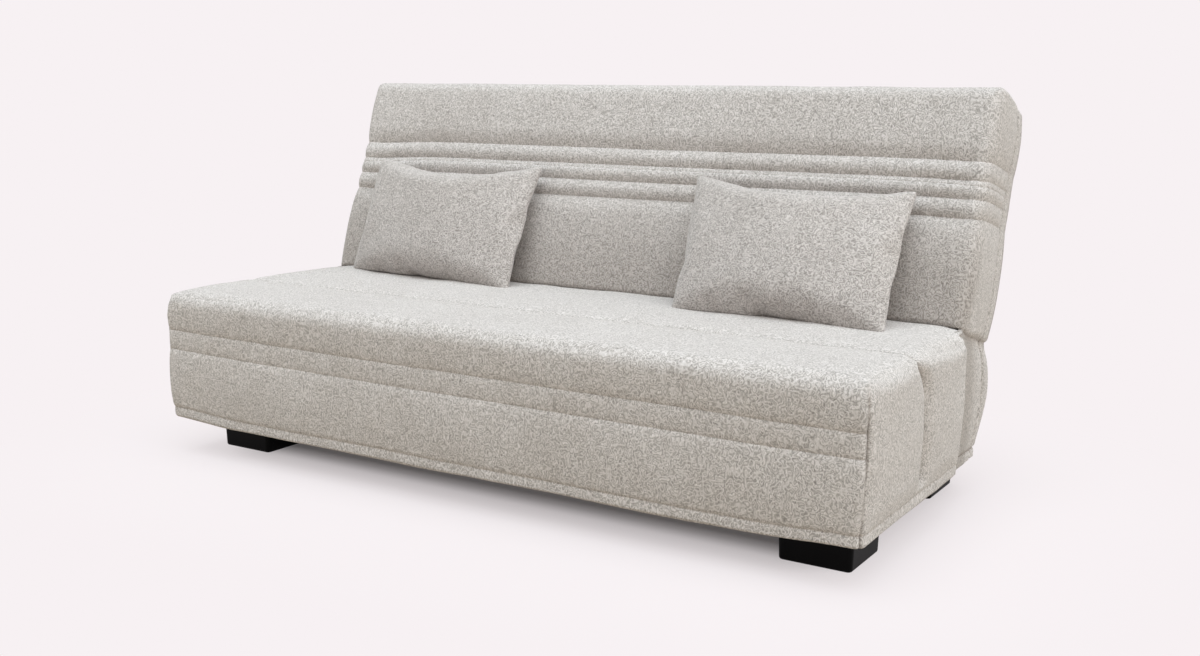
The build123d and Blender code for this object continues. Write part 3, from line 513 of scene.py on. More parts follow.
tongue_half = 0.912
flap_half = 0.946
flap_end = 0.641
flap_lip = 0.428
side_end = 0.618
tongue_end = 0.672
tongue_lip = 0.380
lip_radius = 0.025
top_radius = 0.042
pressed_radius = 0.034
corner_radius = 0.026
shoulder_radius = 0.026
cross_seam = 0.290
front_seams = (0.331, 0.280)
hem_seam = 0.127
hem_sag = 0.010
hem_step = 0.0012
hem_turn = 0.004
hem_edge = 0.008
left_rise = 0.005
corner_seam_top = 0.418
corner_seam_fade = 0.04
corner_bead = 0.0010
groove_slant = 0.075
hem_spread = 0.003
side_flare = 0.008
rear_droop = 0.020
droop_start = 0.875
droop_reach = 0.110
panel_crown = 0.006
top_crown_share = 0.7
wall_inset = 0.003
turn_shade = 0.8
cover_wall = 0.008
# The last two values of each seam paint shade into its crease, standing in for the shadow in the
# hollow.
upper_stitch = Seam(
    depth=0.0023, reach=0.018, thread=0.0006, thread_reach=0.0035, mark=0.15, mark_reach=0.003
)
lower_stitch = upper_stitch._replace(depth=0.0020)
hem_sewing = Seam(
    depth=0.0020, reach=0.010, thread=0.0007, thread_reach=0.0035, mark=0.25, mark_reach=0.003
)
cross_on_top = Seam(
    depth=0.0044, reach=0.026, thread=0.0024, thread_reach=0.005, mark=1.0, mark_reach=0.005
)
cross_on_side = Seam(
    depth=0.0164, reach=0.042, thread=0.0050, thread_reach=0.005, mark=1.0, mark_reach=0.010
)
corner_sewing = Seam(
    depth=0.0042, reach=0.009, thread=0.0, thread_reach=0.003, mark=1.0, mark_reach=0.008
)


def outer_end(x):
    """0 over the middle, rising to 1 at either end, where the rear corners of seat and back sag."""
    return np.clip((np.abs(x) - droop_start) / droop_reach, 0, 1) ** 2


def seat_block():
    """Seat as a plain block, open below and round its tongue, with the cuts it needs."""
    columns = (-half_width, -flap_half, -tongue_half, tongue_half, flap_half, half_width)
    rows = (0.0, side_end, flap_end, tongue_end)
    notches = []
    for side in (-1, 1):
        beside_flap = sorted((side * flap_half, side * half_width))
        beside_tongue = sorted((side * tongue_half, side * flap_half))
        notches += [(beside_flap, (side_end, tongue_end)), (beside_tongue, (flap_end, tongue_end))]
    bm = cell_block(columns, rows, (hem_bottom, seat_top), notches)
    cut_between(bm, 0, spots_between(-tongue_half, tongue_half, step=0.009))
    strips = ((tongue_half, flap_half, 0.0), (flap_half, half_width, half_width - flap_half))
    for inner, outer, edge in strips:
        spots = spots_between(inner, outer, step=0.007, high_round=edge)
        cut_between(bm, 0, spots)
        cut_between(bm, 0, [-x for x in reversed(spots)])
    cut_between(bm, 1, spots_between(0.0, side_end, 0.010, [cross_seam], top_radius, shoulder_radius))
    cut_between(bm, 1, spots_between(side_end, flap_end, step=0.008))
    cut_between(bm, 1, spots_between(flap_end, tongue_end, step=0.010, high_round=lip_radius))
    level_seams = [hem_seam, *front_seams]
    cut_between(bm, 2, spots_between(hem_bottom, seat_top, 0.010, level_seams, hem_edge, top_radius))

    def left_open(face):
        middle = face.calc_center_median()
        below = abs(middle.z - hem_bottom) < touch
        behind = middle.y > side_end + clear
        under_tongue = behind and middle.z < tongue_lip
        beside_tongue = behind and abs(middle.x) > tongue_half - clear and middle.z < flap_lip
        return below or under_tongue or beside_tongue
    bmesh.ops.delete(bm, geom=[f for f in bm.faces if left_open(f)], context="FACES")
    return bm


def seat_rounded(flat):
    """The block's points with its corners and upper edges rounded."""
    x, y, z = flat.T
    drop = seat_top - z
    side = np.sign(x)
    bent = flat
    for sign in (-1, 1):
        bent = round_plan(bent, (sign * half_width, 0.0), (-sign, 1), corner_radius)
        bent = round_plan(bent, (sign * half_width, side_end), (-sign, -1), shoulder_radius)
    moved = bent.copy()
    front_in, front_fall = round_edge(bent[:, 1], drop, top_radius)
    moved[:, 1] += front_in
    side_radius = top_radius + (pressed_radius - top_radius) * rising(y, 0.46, 0.15)
    side_in, side_fall = round_edge(half_width - np.abs(bent[:, 0]), drop, side_radius)
    moved[:, 0] -= side * side_in
    shoulder = np.abs(x) > flap_half + clear
    end_in, end_fall = round_edge(np.where(shoulder, side_end - bent[:, 1], 1.0), drop, shoulder_radius)
    moved[:, 1] -= end_in
    tongue = np.abs(x) < tongue_half + clear
    lip_in, lip_fall = round_edge(np.where(tongue, tongue_end - bent[:, 1], 1.0), drop, lip_radius)
    moved[:, 1] -= lip_in
    falls = np.stack([np.zeros(len(flat)), front_fall, side_fall, end_fall, lip_fall])
    moved[:, 2] -= falls.max(0)
    return moved


def seat_cover():
    bm = seat_block()
    flat = points_of(bm)
    x, y, z = flat.T
    drop = seat_top - z
    side = np.sign(x)
    on_side = (np.abs(np.abs(x) - half_width) < hair) & (y > hair)
    on_front = y < hair
    on_wall = drop > hair
    moved = seat_rounded(flat)
    set_points(bm, moved)
    normal = outward(bm)

    front = on_front.astype(float)
    walls = (on_front | on_side) & on_wall
    to_side = np.where(on_side, rising(drop, 0.0, 0.05), 0.0)
    at_wall = rising(drop, 0.0, top_radius)
    over_hem = rising(z - hem_seam, 0.004, 0.035)
    lift = np.zeros(len(flat))
    marks = np.zeros(len(flat))

    for seam, stitch in zip(front_seams, (upper_stitch, lower_stitch)):
        hollow, mark = sew(z - seam, stitch, front)
        lift += hollow + front * puckers(x, z - seam, size=0.041, amount=0.0006, reach=0.014)
        marks = np.maximum(marks, mark)
    lift += front * (crown(z, hem_seam, front_seams[1], panel_crown) - wall_inset * at_wall)
    lift += front * crown(z, front_seams[0], seat_top, panel_crown / 2)

    hollow, mark = sew(z - hem_seam, hem_sewing, walls)
    lift += hollow + walls * puckers(x + 1.3 * y, z - hem_seam, size=0.047, amount=0.0009, reach=0.014)
    lift -= walls * np.where(z < hem_seam, hem_step, 0.0)
    lift -= walls * hem_turn * np.clip(1 - (z - hem_bottom) / 0.006, 0, 1) ** 2
    marks = np.maximum(marks, mark)

    sewn_across = rising(y, 0.01, 0.03) * np.where(on_side, over_hem, 1.0)
    both = zip(cross_on_top, cross_on_side)
    hollow, mark = sew(y - cross_seam, Seam(*(a + (b - a) * to_side for a, b in both)), sewn_across)
    gathers = puckers(x + z, y - cross_seam, size=0.052, amount=0.0009, reach=0.018)
    lift += hollow + sewn_across * gathers
    marks = np.maximum(marks, mark)

    # Painted shade along the side panels' rear edge, standing in for the shadow in the groove before
    # the skirt.
    at_turn = on_side | (np.abs(y - side_end) < hair)
    turn_shade_mask = np.where(at_turn, rising(y, side_end - 0.022, 0.02), 0.0)
    marks = np.maximum(marks, turn_shade * turn_shade_mask * at_wall)

    panels = crown(y, 0.0, cross_seam, panel_crown) + crown(y, cross_seam, side_end, panel_crown)
    lift += np.where(on_side, panels * over_hem * at_wall - wall_inset * at_wall, 0.0)
    from_edge = np.minimum(rising(half_width - np.abs(x), 0.0, 0.08), rising(tongue_end - y, 0.0, 0.06))
    lift += np.where(~on_wall, top_crown_share * panels, 0.0) * from_edge

    corner_gap = np.where(on_front, half_width - np.abs(x), np.where(on_side, y, 1.0))
    sewn_corner = ease((corner_seam_top + corner_seam_fade / 2 - z) / corner_seam_fade)
    hollow, mark = sew(corner_gap, corner_sewing, sewn_corner)
    lift += hollow + sewn_corner * corner_bead * np.exp(-((corner_gap - 0.014) / 0.008) ** 2)
    marks = np.maximum(marks, mark)
    lift += uneven(flat, size=0.46, amount=0.0022, turn=0.4)
    lift += uneven(flat, size=0.17, amount=0.0009, turn=1.3)

    shaped = moved + normal * lift[:, None]
    wavy_hem = hem_bottom + 0.0015 * np.sin(9 * x + 5 * y)
    shaped[:, 2] = np.where(z < hem_bottom + hair, wavy_hem, shaped[:, 2])
    widened = side_flare * rising(z, hem_bottom, 0.20) + hem_spread
    shaped[:, 0] += side * rising(np.abs(x), 0.78, 0.16) * widened
    between_corners = front * rising(half_width - np.abs(x), 0.0, 0.25)
    shaped[:, 2] -= hem_sag * between_corners * (1 - rising(z, hem_bottom, 0.26))
    near_stitches = np.exp(-((z - np.mean(front_seams)) / 0.06) ** 2)
    shaped[:, 2] += left_rise * front * rising(-x, 0.2, 1.0) * near_stitches
    shaped[:, 2] -= rear_droop * outer_end(x) * rising(y, 0.36, 0.22) * (1 - rising(drop, 0.0, 0.16))
    lean_in = np.where(y < cross_seam, y / cross_seam, (side_end - y) / (side_end - cross_seam))
    slant = (rising(drop, 0.0, 0.10) + drop / (seat_top - hem_bottom)) / 2
    shaped[:, 1] += groove_slant * slant * ease(np.clip(lean_in, 0, 1)) * to_side
    shaped[:, 1] += front_y
    set_points(bm, shaped)
    at_corner = (np.abs(x) > half_width - 0.07) & (y < 0.07) & (drop < 0.06)
    soften(bm, [v for v, near in zip(bm.verts, at_corner) if near], rounds=14)
    # marks hold painted shade along the seams and the side panels' rear edge, kept as the crease
    # attribute.
    piece = make_piece("seat_cover", bm, cover_fabric, "seat", marks)
    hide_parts("seat_top_cover", "seat_front_panel", "seat_side_panel_left", "seat_side_panel_right")
    thicken(piece, cover_wall)


# Back cover: upper panel, three channelled ribs, lower panel, sides and a rolled rear hem

back_foot = 0.004
back_top = back_length - 0.006
channels = (0.245, 0.292, 0.339, 0.386)
half_rib = (channels[1] - channels[0]) / 2
beyond_ribs = 0.045
face_depth = 0.014
side_depth = 0.0040
end_share = 0.40
lower_crown = 0.006
upper_crown = 0.005
side_crown = 0.003
rib_stitch = 0.323
rear_hem = 0.160
rear_swell = 0.012
back_edge_radius = 0.034
back_side_radius = 0.026
back_end_radius = 0.008
back_foot_radius = 0.010
hinge_slot_inner = 0.918
hinge_slot_outer = 0.946
channel_rise = 0.023
rib_lift = 0.011
rib_spread = 0.03
right_share = 0.18
right_end_share = 0.35
# Painted shade on the lower face of the back, strongest at the seat and gone at foot_shade_top.
foot_shade = 0.92
foot_shade_top = 0.36
# The last two values of each seam paint shade into its crease, standing in for the shadow in the
# hollow.
channel_sewing = Seam(
    depth=face_depth, reach=half_rib, thread=0.0025, thread_reach=0.005, mark=1.0, mark_reach=0.004
)
stitch_sewing = Seam(
    depth=0.0032, reach=0.0065, thread=0.0, thread_reach=0.003, mark=0.8, mark_reach=0.003
)
rear_sewing = Seam(
    depth=0.0055, reach=0.013, thread=0.0015, thread_reach=0.004, mark=1.0, mark_reach=0.009
)


def in_back_frame(points):
    """From across, up the back and into the back, to the model's frame."""
    return (
        np.array(crease)
        + points[:, [0]] * np.array((1.0, 0, 0))
        + points[:, [1]] * np.array(up_back)
        + points[:, [2]] * np.array(into_back)
    )


def back_block():
    """Back as a plain block, open at the rear and over the hinges, with the cuts it needs."""
    bm = cell_block((-back_half, back_half), (back_foot, back_top), (0.0, back_depth))
    across = spots_between(-back_half, back_half, 0.010, (), back_side_radius, back_side_radius)
    cut_between(bm, 0, across)
    seams = [*channels, rib_stitch]
    along = spots_between(back_foot, back_top, 0.010, seams, back_foot_radius, back_edge_radius)
    cut_between(bm, 1, along)
    cut_between(bm, 2, spots_between(0.0, back_depth, 0.012, [rear_hem], low_round=back_edge_radius))

    def left_open(face):
        middle = face.calc_center_median()
        over_hinge = hinge_slot_inner < abs(middle.x) < hinge_slot_outer
        hinge_slot = over_hinge and middle.y < back_foot + touch and middle.z > back_foot_radius
        return middle.z > back_depth - touch or hinge_slot
    bmesh.ops.delete(bm, geom=[f for f in bm.faces if left_open(f)], context="FACES")
    return bm


def back_rounded(flat):
    """The block's points with its corners and edges rounded."""
    x, s, d = flat.T
    bent = flat
    for sign in (-1, 1):
        bent = round_plan(bent, (sign * back_half, back_top), (-sign, -1), back_end_radius)
        bent = round_plan(bent, (sign * back_half, back_foot), (-sign, 1), back_foot_radius)
    moved = bent.copy()
    side_in, side_fall = round_edge(back_half - np.abs(bent[:, 0]), d, back_side_radius)
    moved[:, 0] -= np.sign(x) * side_in
    top_in, top_fall = round_edge(back_top - bent[:, 1], d, back_edge_radius)
    moved[:, 1] -= top_in
    foot_in, foot_fall = round_edge(bent[:, 1] - back_foot, d, back_foot_radius)
    moved[:, 1] += foot_in
    moved[:, 2] += np.maximum(np.maximum(side_fall, top_fall), foot_fall)
    return moved


def back_cover():
    bm = back_block()
    flat = points_of(bm)
    x, s, d = flat.T
    moved = back_rounded(flat)
    set_points(bm, moved)
    normal = outward(bm)

    on_side = np.abs(np.abs(x) - back_half) < hair
    on_end = (np.abs(s - back_top) < hair) | (np.abs(s - back_foot) < hair)
    face = 1 - rising(d, 0.0, 0.05)
    from_end = end_share + (1 - end_share) * rising(back_half - np.abs(x), 0.0, 0.07)
    depth = face_depth * face * from_end + side_depth * (1 - face)
    band = rising(rear_hem - d, 0.0, 0.02)
    lift = np.zeros(len(flat))
    marks = np.zeros(len(flat))
    reach = np.where((s < channels[0]) | (s > channels[-1]), beyond_ribs, half_rib)
    for line in channels:
        hollow, mark = sew(s - line, channel_sewing._replace(depth=depth, reach=reach), band)
        lift += hollow + band * puckers(x + d, s - line, size=0.049, amount=0.0010, reach=0.012)
        marks = np.maximum(marks, mark)
    hollow, mark = sew(s - rib_stitch, stitch_sewing, band)
    lift += hollow
    marks = np.maximum(marks, mark)
    lift += crown(s, back_foot, channels[0], lower_crown) + crown(s, channels[3], back_top, upper_crown)

    around = (on_side | on_end).astype(float)
    hollow, mark = sew(d - rear_hem, rear_sewing, around)
    lift += hollow + around * crown(d, 0.02, rear_hem, side_crown) - wall_inset
    marks = np.maximum(marks, mark)
    lift += uneven(flat, size=0.50, amount=0.0013, turn=0.9)
    lift += uneven(flat, size=0.19, amount=0.0008, turn=2.2)
    # Painted shade: the lower panel darkens towards the seat, standing in for the shade in the crease.
    marks = np.maximum(marks, foot_shade * face * (1 - rising(s, 0.0, foot_shade_top)))

    shaped = moved + normal * lift[:, None]
    rise = rising(s, 0.0, channels[0]) * rising(back_top - s, 0.0, back_top - channels[3])
    shaped[:, 1] += channel_rise * np.clip(d / rear_hem, 0, 1) ** 0.9 * rise
    to_right = 1 + right_share * rising(x, 0.0, 0.7) - right_end_share * rising(x, 0.80, 0.14)
    drawn_up = rising(x, -0.945, 0.30) * to_right
    shaped[:, 1] += (rib_lift + rib_spread * (channels[2] - s)) * drawn_up * rise
    swell = rear_swell * np.sin(np.pi * np.clip(s / back_top, 0, 1))
    shaped[:, 2] += np.clip(d / back_depth, 0, 1) * swell
    shaped[:, 1] -= rear_droop * outer_end(x) * (1 - rising(s, 0.0, 0.12)) * (1 - rising(d, 0.02, 0.12))
    set_points(bm, in_back_frame(shaped))
    bmesh.ops.recalc_face_normals(bm, faces=bm.faces[:])
    # marks hold painted shade along the seams and on the lower panel, kept as the crease attribute.
    piece = make_piece("back_cover", bm, cover_fabric, "back", marks)
    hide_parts("back_front_cover")
    thicken(piece, cover_wall)


# Rear lining: plain cloth stretched over the rear of the back

lining_margin = 0.008
lining_inset = 0.008
lining_belly = 0.004
lining_tuck = 0.008
lining_taper = 0.004
lining_wall = 0.002


def rear_lining():
    bm = bmesh.new()
    half, low, high = back_half - lining_margin, back_foot + lining_margin, back_length - lining_margin
    bmesh.ops.create_grid(bm, x_segments=96, y_segments=30, size=1)
    u, v, _ = points_of(bm).T
    s = (low + high) / 2 + v * (high - low) / 2
    rim = np.maximum(np.abs(u), np.abs(v)) ** 6
    swell = rear_swell * np.sin(np.pi * np.clip(s / back_length, 0, 1))
    d = back_depth - lining_inset + swell + lining_belly * (1 - rim) - lining_tuck * rim ** 3
    narrowed = half - lining_taper * (1 - rising(s, low, 0.08))
    local = np.stack([u * narrowed, s, d], axis=1)
    local[:, 2] += uneven(local, size=0.33, amount=0.0018, turn=2.9) * (1 - rim)
    set_points(bm, in_back_frame(local))
    bmesh.ops.recalc_face_normals(bm, faces=bm.faces[:])
    bm.normal_update()
    if sum(f.normal.y for f in bm.faces) < 0:
        bmesh.ops.reverse_faces(bm, faces=bm.faces[:])
    piece = make_piece("rear_lining", bm, rear_cloth, "back")
    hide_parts("back_rear_panel")
    thicken(piece, lining_wall)


# Rear skirt: the third side section and the rear valance, fixed to the base

skirt_half = 0.962
skirt_start = 0.612
skirt_rear = 0.864
skirt_hem_rear = 0.797
skirt_top = 0.443
skirt_corner = 0.022
skirt_edge_seam = 0.803
skirt_top_tuck = 0.020
skirt_top_rise = 0.014
skirt_front_fall = 0.010
skirt_side_tuck = 0.006
skirt_inset = 0.004
skirt_front_tuck = 0.003
skirt_room = 0.003
skirt_wall = 0.005
# The last two values of each seam paint shade into its crease, standing in for the shadow in the
# hollow.
skirt_hem_sewing = Seam(
    depth=0.0035, reach=0.011, thread=0.002, thread_reach=0.004, mark=1.0, mark_reach=0.003
)
skirt_edge_sewing = Seam(
    depth=0.0055, reach=0.014, thread=0.002, thread_reach=0.004, mark=1.0, mark_reach=0.006
)


def skirt_block():
    """Skirt as a plain block, open above, below and in front, with the cuts it needs."""
    bm = cell_block((-skirt_half, skirt_half), (skirt_start, skirt_rear), (hem_bottom, skirt_top))
    cut_between(bm, 0, spots_between(-skirt_half, skirt_half, 0.018, (), skirt_corner, skirt_corner))
    along = spots_between(skirt_start, skirt_rear, 0.010, [skirt_edge_seam], 0.012, skirt_corner)
    cut_between(bm, 1, along)
    cut_between(bm, 2, spots_between(hem_bottom, skirt_top, 0.010, [hem_seam], low_round=hem_edge))

    def left_open(face):
        middle = face.calc_center_median()
        level = abs(middle.z - hem_bottom) < touch or abs(middle.z - skirt_top) < touch
        return level or abs(middle.y - skirt_start) < touch
    bmesh.ops.delete(bm, geom=[f for f in bm.faces if left_open(f)], context="FACES")
    return bm


def rear_skirt():
    bm = skirt_block()
    flat = points_of(bm)
    x, y, z = flat.T
    bent = flat
    for sign in (-1, 1):
        bent = round_plan(bent, (sign * skirt_half, skirt_rear), (-sign, -1), skirt_corner)
    set_points(bm, bent)
    normal = outward(bm)
    depth = bent[:, 1]
    on_side = np.abs(np.abs(x) - skirt_half) < hair

    lift, marks = sew(z - hem_seam, skirt_hem_sewing)
    lift += crown(z, hem_seam, skirt_top, panel_crown) - skirt_inset
    lift += puckers(x + y, z - hem_seam, size=0.06, amount=0.0009, reach=0.02)
    lift += uneven(flat, size=0.31, amount=0.0025, turn=0.2)
    lift -= skirt_front_tuck * np.clip(1 - (y - side_end) / 0.030, 0, 1) ** 2
    hollow, mark = sew(np.where(on_side, y - skirt_edge_seam, 1.0), skirt_edge_sewing)
    lift += hollow
    marks = np.maximum(marks, mark)
    # Painted shade on the skirt's front edge, standing in for the shadow in the groove behind the
    # seat's side panel.
    marks = np.maximum(marks, np.where(on_side, 1 - rising(y, side_end + 0.08, 0.08), 0.0))

    shaped = bent + normal * lift[:, None]
    share = (z - hem_bottom) / (skirt_top - hem_bottom)
    draw = (skirt_rear - skirt_hem_rear) * (1 - rising(z, hem_bottom, 0.20) ** 0.8)
    shaped[:, 1] -= draw * np.clip((depth - skirt_start) / (skirt_rear - skirt_start), 0, 1)
    fall = math.tan(back_lean) * np.clip(depth - seat_depth, 0, None) + skirt_room
    fall += skirt_front_fall * (1 - rising(depth, skirt_start, 0.10))
    shaped[:, 2] -= share * fall
    shaped[:, 0] -= np.sign(x) * np.where(on_side, skirt_side_tuck * rising(share, 0.8, 0.2), 0.0)
    over_rear = rising(depth, skirt_edge_seam, skirt_rear - skirt_edge_seam) * rising(share, 0.70, 0.30)
    shaped[:, 1] -= skirt_top_tuck * over_rear
    shaped[:, 2] += skirt_top_rise * over_rear
    shaped[:, 1] += front_y
    set_points(bm, shaped)
    # marks hold painted shade along the seams and the front edge, kept as the crease attribute.
    piece = make_piece("rear_skirt_cloth", bm, cover_fabric, "base", marks)
    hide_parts("rear_skirt")
    thicken(piece, skirt_wall)
    bpy.context.view_layer.update()
    baked = applied_mesh(piece)
    piece.modifiers.clear()
    piece.data = baked
    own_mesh(piece)


# Foam of seat and back, seen from below between the slats

foam_room = 0.001
foam_edge = 0.012
foam_inset = 0.002


def foam_block(name, node, body, leaning):
    """Foam slab in the place of its solid, with eased edges and a slightly uneven skin."""
    bm = bmesh.new()
    bmesh.ops.create_cube(bm, size=1)
    points = np.array([v.co for v in nodes[node].data.vertices], float)
    if leaning:
        offset = points - np.array(crease)
        up, inward = offset @ np.array(up_back), offset @ np.array(into_back)
        points = np.stack([offset[:, 0], up, inward], axis=1)
    low, high = points.min(0) + foam_room, points.max(0) - foam_room
    set_points(bm, np.array([(low + high) / 2 + np.array(v.co) * (high - low) for v in bm.verts]))
    bmesh.ops.bevel(
        bm, geom=bm.edges[:], offset=foam_edge, offset_type="OFFSET", segments=3, profile=0.5,
        affect="EDGES", material=-1,
    )
    for axis, least, cuts in ((0, 0.5, 60), (1, 0.2, 24)):
        long_edges = [e for e in bm.edges if abs(e.verts[0].co[axis] - e.verts[1].co[axis]) > least]
        bmesh.ops.subdivide_edges(bm, edges=long_edges, cuts=cuts, use_grid_fill=True)
    flat = points_of(bm)
    inset = foam_inset + uneven(flat, size=0.22, amount=0.002, turn=0.7)
    shaped = flat - outward(bm) * inset[:, None]
    if leaning:
        shaped = in_back_frame(shaped)
    set_points(bm, shaped)
    bmesh.ops.recalc_face_normals(bm, faces=bm.faces[:])
    piece = make_piece(name, bm, foam, body)
    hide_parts(node)


# Loose cushions: sewn flat from two sheets and blown up as cloth

cushion_flat = (0.600, 0.400)
sheets_apart = 0.012
cloth_cell = 0.007
cloth_frames = 20
cushion_places = {
    "left": {
        "low": ((-0.855, 0.597, 0.442), (-0.246, 0.528, 0.442)),
        "high": ((-0.833, 0.716, 0.756), (-0.258, 0.716, 0.751)),
    },
    "right": {
        "low": ((0.274, 0.502, 0.442), (0.829, 0.477, 0.442)),
        "high": ((0.229, 0.716, 0.749), (0.811, 0.713, 0.735)),
    },
}
cushion_fullness = 0.075
top_give, foot_give, side_give = -0.30, 0.9, 0.15
rest_back = -0.004
sink = 0.007
least_rest = 0.003
edge_bins = 30
# Painted shade on the cushions' lower part, where they sit in shadow on the seat.
cushion_foot_shade = 0.25


def flat_cushion():
    """The two sheets, laid together."""
    bm = bmesh.new()
    bmesh.ops.create_cube(bm, size=1)
    bmesh.ops.scale(bm, vec=(*cushion_flat, sheets_apart), verts=bm.verts[:])
    return bm


def blown_cushion(name):
    """Two sheets sewn round their edge, swollen by pressure until the seams draw in."""
    bm = flat_cushion()
    mesh = bpy.data.meshes.new(name + "_flat")
    bm.to_mesh(mesh)
    bm.free()
    cloth_piece = bpy.data.objects.new(name + "_flat", mesh)
    bpy.context.scene.collection.objects.link(cloth_piece)
    bpy.context.view_layer.objects.active = cloth_piece
    cloth_piece.data.remesh_voxel_size = cloth_cell
    with bpy.context.temp_override(active_object=cloth_piece, object=cloth_piece):
        bpy.ops.object.voxel_remesh()
    cloth = cloth_piece.modifiers.new("cloth", "CLOTH")
    cloth.settings.quality = 6
    cloth.settings.mass = 0.3
    cloth.settings.tension_stiffness = 60
    cloth.settings.compression_stiffness = 20
    cloth.settings.shear_stiffness = 12
    cloth.settings.bending_stiffness = 15.0
    cloth.settings.use_pressure = True
    cloth.settings.uniform_pressure_force = 4.0
    cloth.settings.effector_weights.gravity = 0
    cloth.collision_settings.use_collision = False
    scene = bpy.context.scene
    scene.frame_start, scene.frame_end = 1, cloth_frames
    for step in range(1, cloth_frames + 1):
        scene.frame_set(step)
    blown = applied_mesh(cloth_piece)
    scene.frame_set(1)
    bpy.data.objects.remove(cloth_piece)
    bm = bmesh.new()
    bm.from_mesh(blown)
    soften(bm, bm.verts[:], rounds=10)
    return bm


def edge_line(along, across, full, share):
    """Share of the way that an edge has drawn in from full, read off at each place along it."""
    place = (along + 1) / 2 * edge_bins
    edge = np.full(edge_bins, -1.0)
    np.maximum.at(edge, np.clip(place.astype(int), 0, edge_bins - 1), across)
    smooth = np.convolve(np.pad(edge, 2, mode="edge"), np.ones(5) / 5, mode="valid")
    return share * (full - np.interp(place - 0.5, np.arange(edge_bins), smooth))


def cushion(name, body, place):
    """Cushion between its four corners, flat where it leans on the back and rests on the seat."""
    bm = blown_cushion(name)
    points = points_of(bm)
    reach_x, reach_y = np.abs(points[:, 0]).max(), np.abs(points[:, 1]).max()
    u, v = points[:, 0] / reach_x, points[:, 1] / reach_y
    v_edge = edge_line(u, v, 1, top_give) * (v > 0) + edge_line(u, -v, 1, foot_give) * (v <= 0)
    u_edge = edge_line(v, u, 1, side_give) * (u > 0) + edge_line(v, -u, 1, side_give) * (u <= 0)
    v = v + np.sign(v) * v_edge * np.abs(v) ** 2
    u = u + np.sign(u) * u_edge * np.abs(u) ** 2
    fullness = cushion_fullness / np.abs(points[:, 2]).max()
    corners = [np.array(p) + np.array((0, front_y, 0)) for p in (*place["low"], *place["high"])]
    low = corners[0] + (corners[1] - corners[0]) * ((u + 1) / 2)[:, None]
    high = corners[2] + (corners[3] - corners[2]) * ((u + 1) / 2)[:, None]
    sheet = low + (high - low) * ((v + 1) / 2)[:, None]
    across = (corners[1] + corners[3] - corners[0] - corners[2]) / 2
    upward = (corners[2] + corners[3] - corners[0] - corners[1]) / 2
    facing = np.cross(across, upward)
    facing /= np.linalg.norm(facing)
    shaped = sheet + facing * (points[:, 2] * fullness)[:, None]
    depth = (shaped - np.array(crease)) @ np.array(into_back)
    shaped -= np.array(into_back) * np.clip(depth - rest_back, 0, None)[:, None]
    lowest = -edge_line(u, -shaped[:, 2], 0.0, -1.0)
    shaped[:, 2] -= (lowest - seat_top + sink) * rising(-v, -0.2, 1.2)
    shaped[:, 2] = np.maximum(shaped[:, 2], seat_top + least_rest)
    set_points(bm, shaped)
    bmesh.ops.recalc_face_normals(bm, faces=bm.faces[:])
    # Painted shade: darker towards the cushion's foot.
    marks = cushion_foot_shade * (1 - rising(v, -1.0, 1.3))
    piece = make_piece(name, bm, cushion_fabric_painted_darker, body, marks)
    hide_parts(body)
    finer = piece.modifiers.new("finer", "SUBSURF")
    finer.levels = finer.render_levels = 1


seat_cover()
back_cover()
rear_lining()
rear_skirt()
foam_block("seat_foam", "seat_mattress", "seat", False)
foam_block("back_foam", "back_mattress", "back", True)
for end, place in cushion_places.items():
    cushion(f"cushion_{end}_filled", f"cushion_{end}", place)


# Camera, floor, light

camera_yaw = 0.5583
camera_pitch = 0.184
camera_roll = 0.0045
camera_place = Vector((1.8509, front_y - 2.3545, 0.994))
camera_data = bpy.data.cameras.new("camera")
camera_data.lens = 40.2234
camera_data.sensor_width = 36.0
camera_data.sensor_fit = "HORIZONTAL"
camera = bpy.data.objects.new("camera", camera_data)
bpy.context.scene.collection.objects.link(camera)
ahead = Vector((
    -math.sin(camera_yaw) * math.cos(camera_pitch),
    math.cos(camera_yaw) * math.cos(camera_pitch),
    -math.sin(camera_pitch),
))
level = Vector((math.cos(camera_yaw), math.sin(camera_yaw), 0))
upright = level.cross(ahead)
right = level * math.cos(camera_roll) + upright * math.sin(camera_roll)
top = upright * math.cos(camera_roll) - level * math.sin(camera_roll)
camera_turn = Matrix((right, top, -ahead)).transposed().to_4x4()
camera.matrix_world = Matrix.Translation(camera_place) @ camera_turn
bpy.context.scene.camera = camera

backdrop_colour = (0.930, 0.879, 0.896)
floor_colour = (0.80, 0.745, 0.75)
floor_bounce = (0.43, 0.37, 0.30, 1)
# Camera rays see the floor partly as glowing backdrop colour, a share set by floor_fade from the box
# shadow_core: evenly bright far off, and near the sofa painted light that lifts the cast shadow.
shadow_core = (half_width - 0.235, -front_y - 0.22, 0)
floor_fade = ((0.0, 0.08), (0.04, 0.22), (0.09, 0.50), (0.17, 0.69), (0.27, 0.77), (0.8, 1.0))
sky_colour = (1.0, 0.95, 0.895)
sky_strength = 0.38
lamp_spread = 60.0
floor_mesh = bpy.data.meshes.new("floor")
floor_bm = bmesh.new()
bmesh.ops.create_grid(floor_bm, x_segments=1, y_segments=1, size=40)
floor_bm.to_mesh(floor_mesh)
floor_bm.free()
floor = bpy.data.objects.new("floor", floor_mesh)
bpy.context.scene.collection.objects.link(floor)
floor_finish, floor_tree, floor_shader = new_finish("floor")
floor_shader.inputs["Roughness"].default_value = 0.9
floor_shader.inputs["Specular IOR Level"].default_value = 0.0


def looked_at(tree):
    """1 where the camera looks, straight, by reflection or through glass; 0 for light that bounces."""
    rays = add_node(tree, "ShaderNodeLightPath")
    value = rays.outputs["Is Camera Ray"]
    for kind in ("Is Glossy Ray", "Is Transmission Ray"):
        value = reckon(tree, "MAXIMUM", value, rays.outputs[kind])
    return value


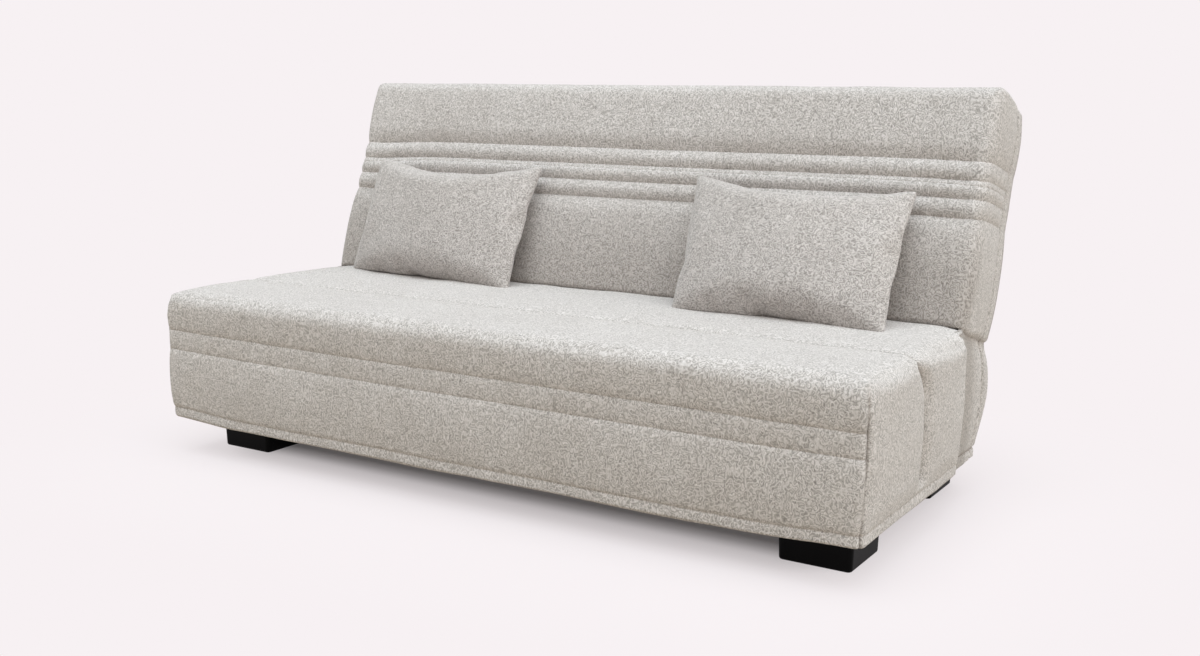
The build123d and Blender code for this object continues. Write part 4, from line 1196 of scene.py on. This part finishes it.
floor_seen = looked_at(floor_tree)
floor_tint = blend_colour(floor_tree, "MIX", floor_seen, floor_bounce, (*floor_colour, 1))
floor_tree.links.new(floor_tint, floor_shader.inputs["Base Color"])
floor_place = add_node(floor_tree, "ShaderNodeTexCoord").outputs["Object"]
vectors = "ShaderNodeVectorMath"
floor_sides = reckon(floor_tree, "ABSOLUTE", floor_place, kind=vectors)
floor_gaps = reckon(floor_tree, "SUBTRACT", floor_sides, shadow_core, kind=vectors)
floor_outside = reckon(floor_tree, "MAXIMUM", floor_gaps, kind=vectors)
floor_reach = reckon(floor_tree, "LENGTH", floor_outside, kind=vectors, result="Value")
# Painted light: the glowing share of the floor grows away from the sofa, lightening its shadow.
fade = ramp(floor_tree, floor_reach, [(gap, (share,) * 3) for gap, share in floor_fade])
far_seen = reckon(floor_tree, "MULTIPLY", fade, floor_seen)
far_glow = add_node(floor_tree, "ShaderNodeEmission")
far_glow.inputs["Color"].default_value = (*backdrop_colour, 1)
floor_mix = add_node(floor_tree, "ShaderNodeMixShader")
floor_tree.links.new(far_seen, floor_mix.inputs[0])
floor_tree.links.new(floor_shader.outputs[0], floor_mix.inputs[1])
floor_tree.links.new(far_glow.outputs[0], floor_mix.inputs[2])
floor_tree.links.new(floor_mix.outputs[0], floor_tree.nodes["Material Output"].inputs["Surface"])
floor.data.materials.append(floor_finish)

world = bpy.data.worlds.new("studio")
bpy.context.scene.world = world
world.use_nodes = True
sky = world.node_tree
light_sky = sky.nodes["Background"]
light_sky.inputs["Color"].default_value = (*sky_colour, 1)
light_sky.inputs["Strength"].default_value = sky_strength
shown_sky = add_node(sky, "ShaderNodeBackground")
shown_sky.inputs["Color"].default_value = (*backdrop_colour, 1)
shown_sky.inputs["Strength"].default_value = 1.0
choose = add_node(sky, "ShaderNodeMixShader")
sky.links.new(looked_at(sky), choose.inputs[0])
sky.links.new(light_sky.outputs[0], choose.inputs[1])
sky.links.new(shown_sky.outputs[0], choose.inputs[2])
sky.links.new(choose.outputs[0], sky.nodes["World Output"].inputs["Surface"])


def sun(name, heading, strength, colour):
    """Soft directional lamp that shines along heading."""
    lamp = bpy.data.lights.new(name, "SUN")
    lamp.energy = strength
    lamp.angle = math.radians(lamp_spread)
    lamp.color = colour
    holder = bpy.data.objects.new(name, lamp)
    holder.rotation_mode = "QUATERNION"
    holder.rotation_quaternion = Vector(heading).to_track_quat("-Z", "Y")
    bpy.context.scene.collection.objects.link(holder)


sun("overhead", (-0.10, 0.22, -1.0), 2.56, (0.850, 0.945, 1.0))
sun("from_right", (-0.9, 0.0, -0.5), 1.0, (1.0, 0.99, 0.97))
sun("from_front", (0.0, 0.8, -0.6), 0.19, (1.0, 0.92, 0.80))

bpy.context.scene.view_settings.view_transform = "Standard"
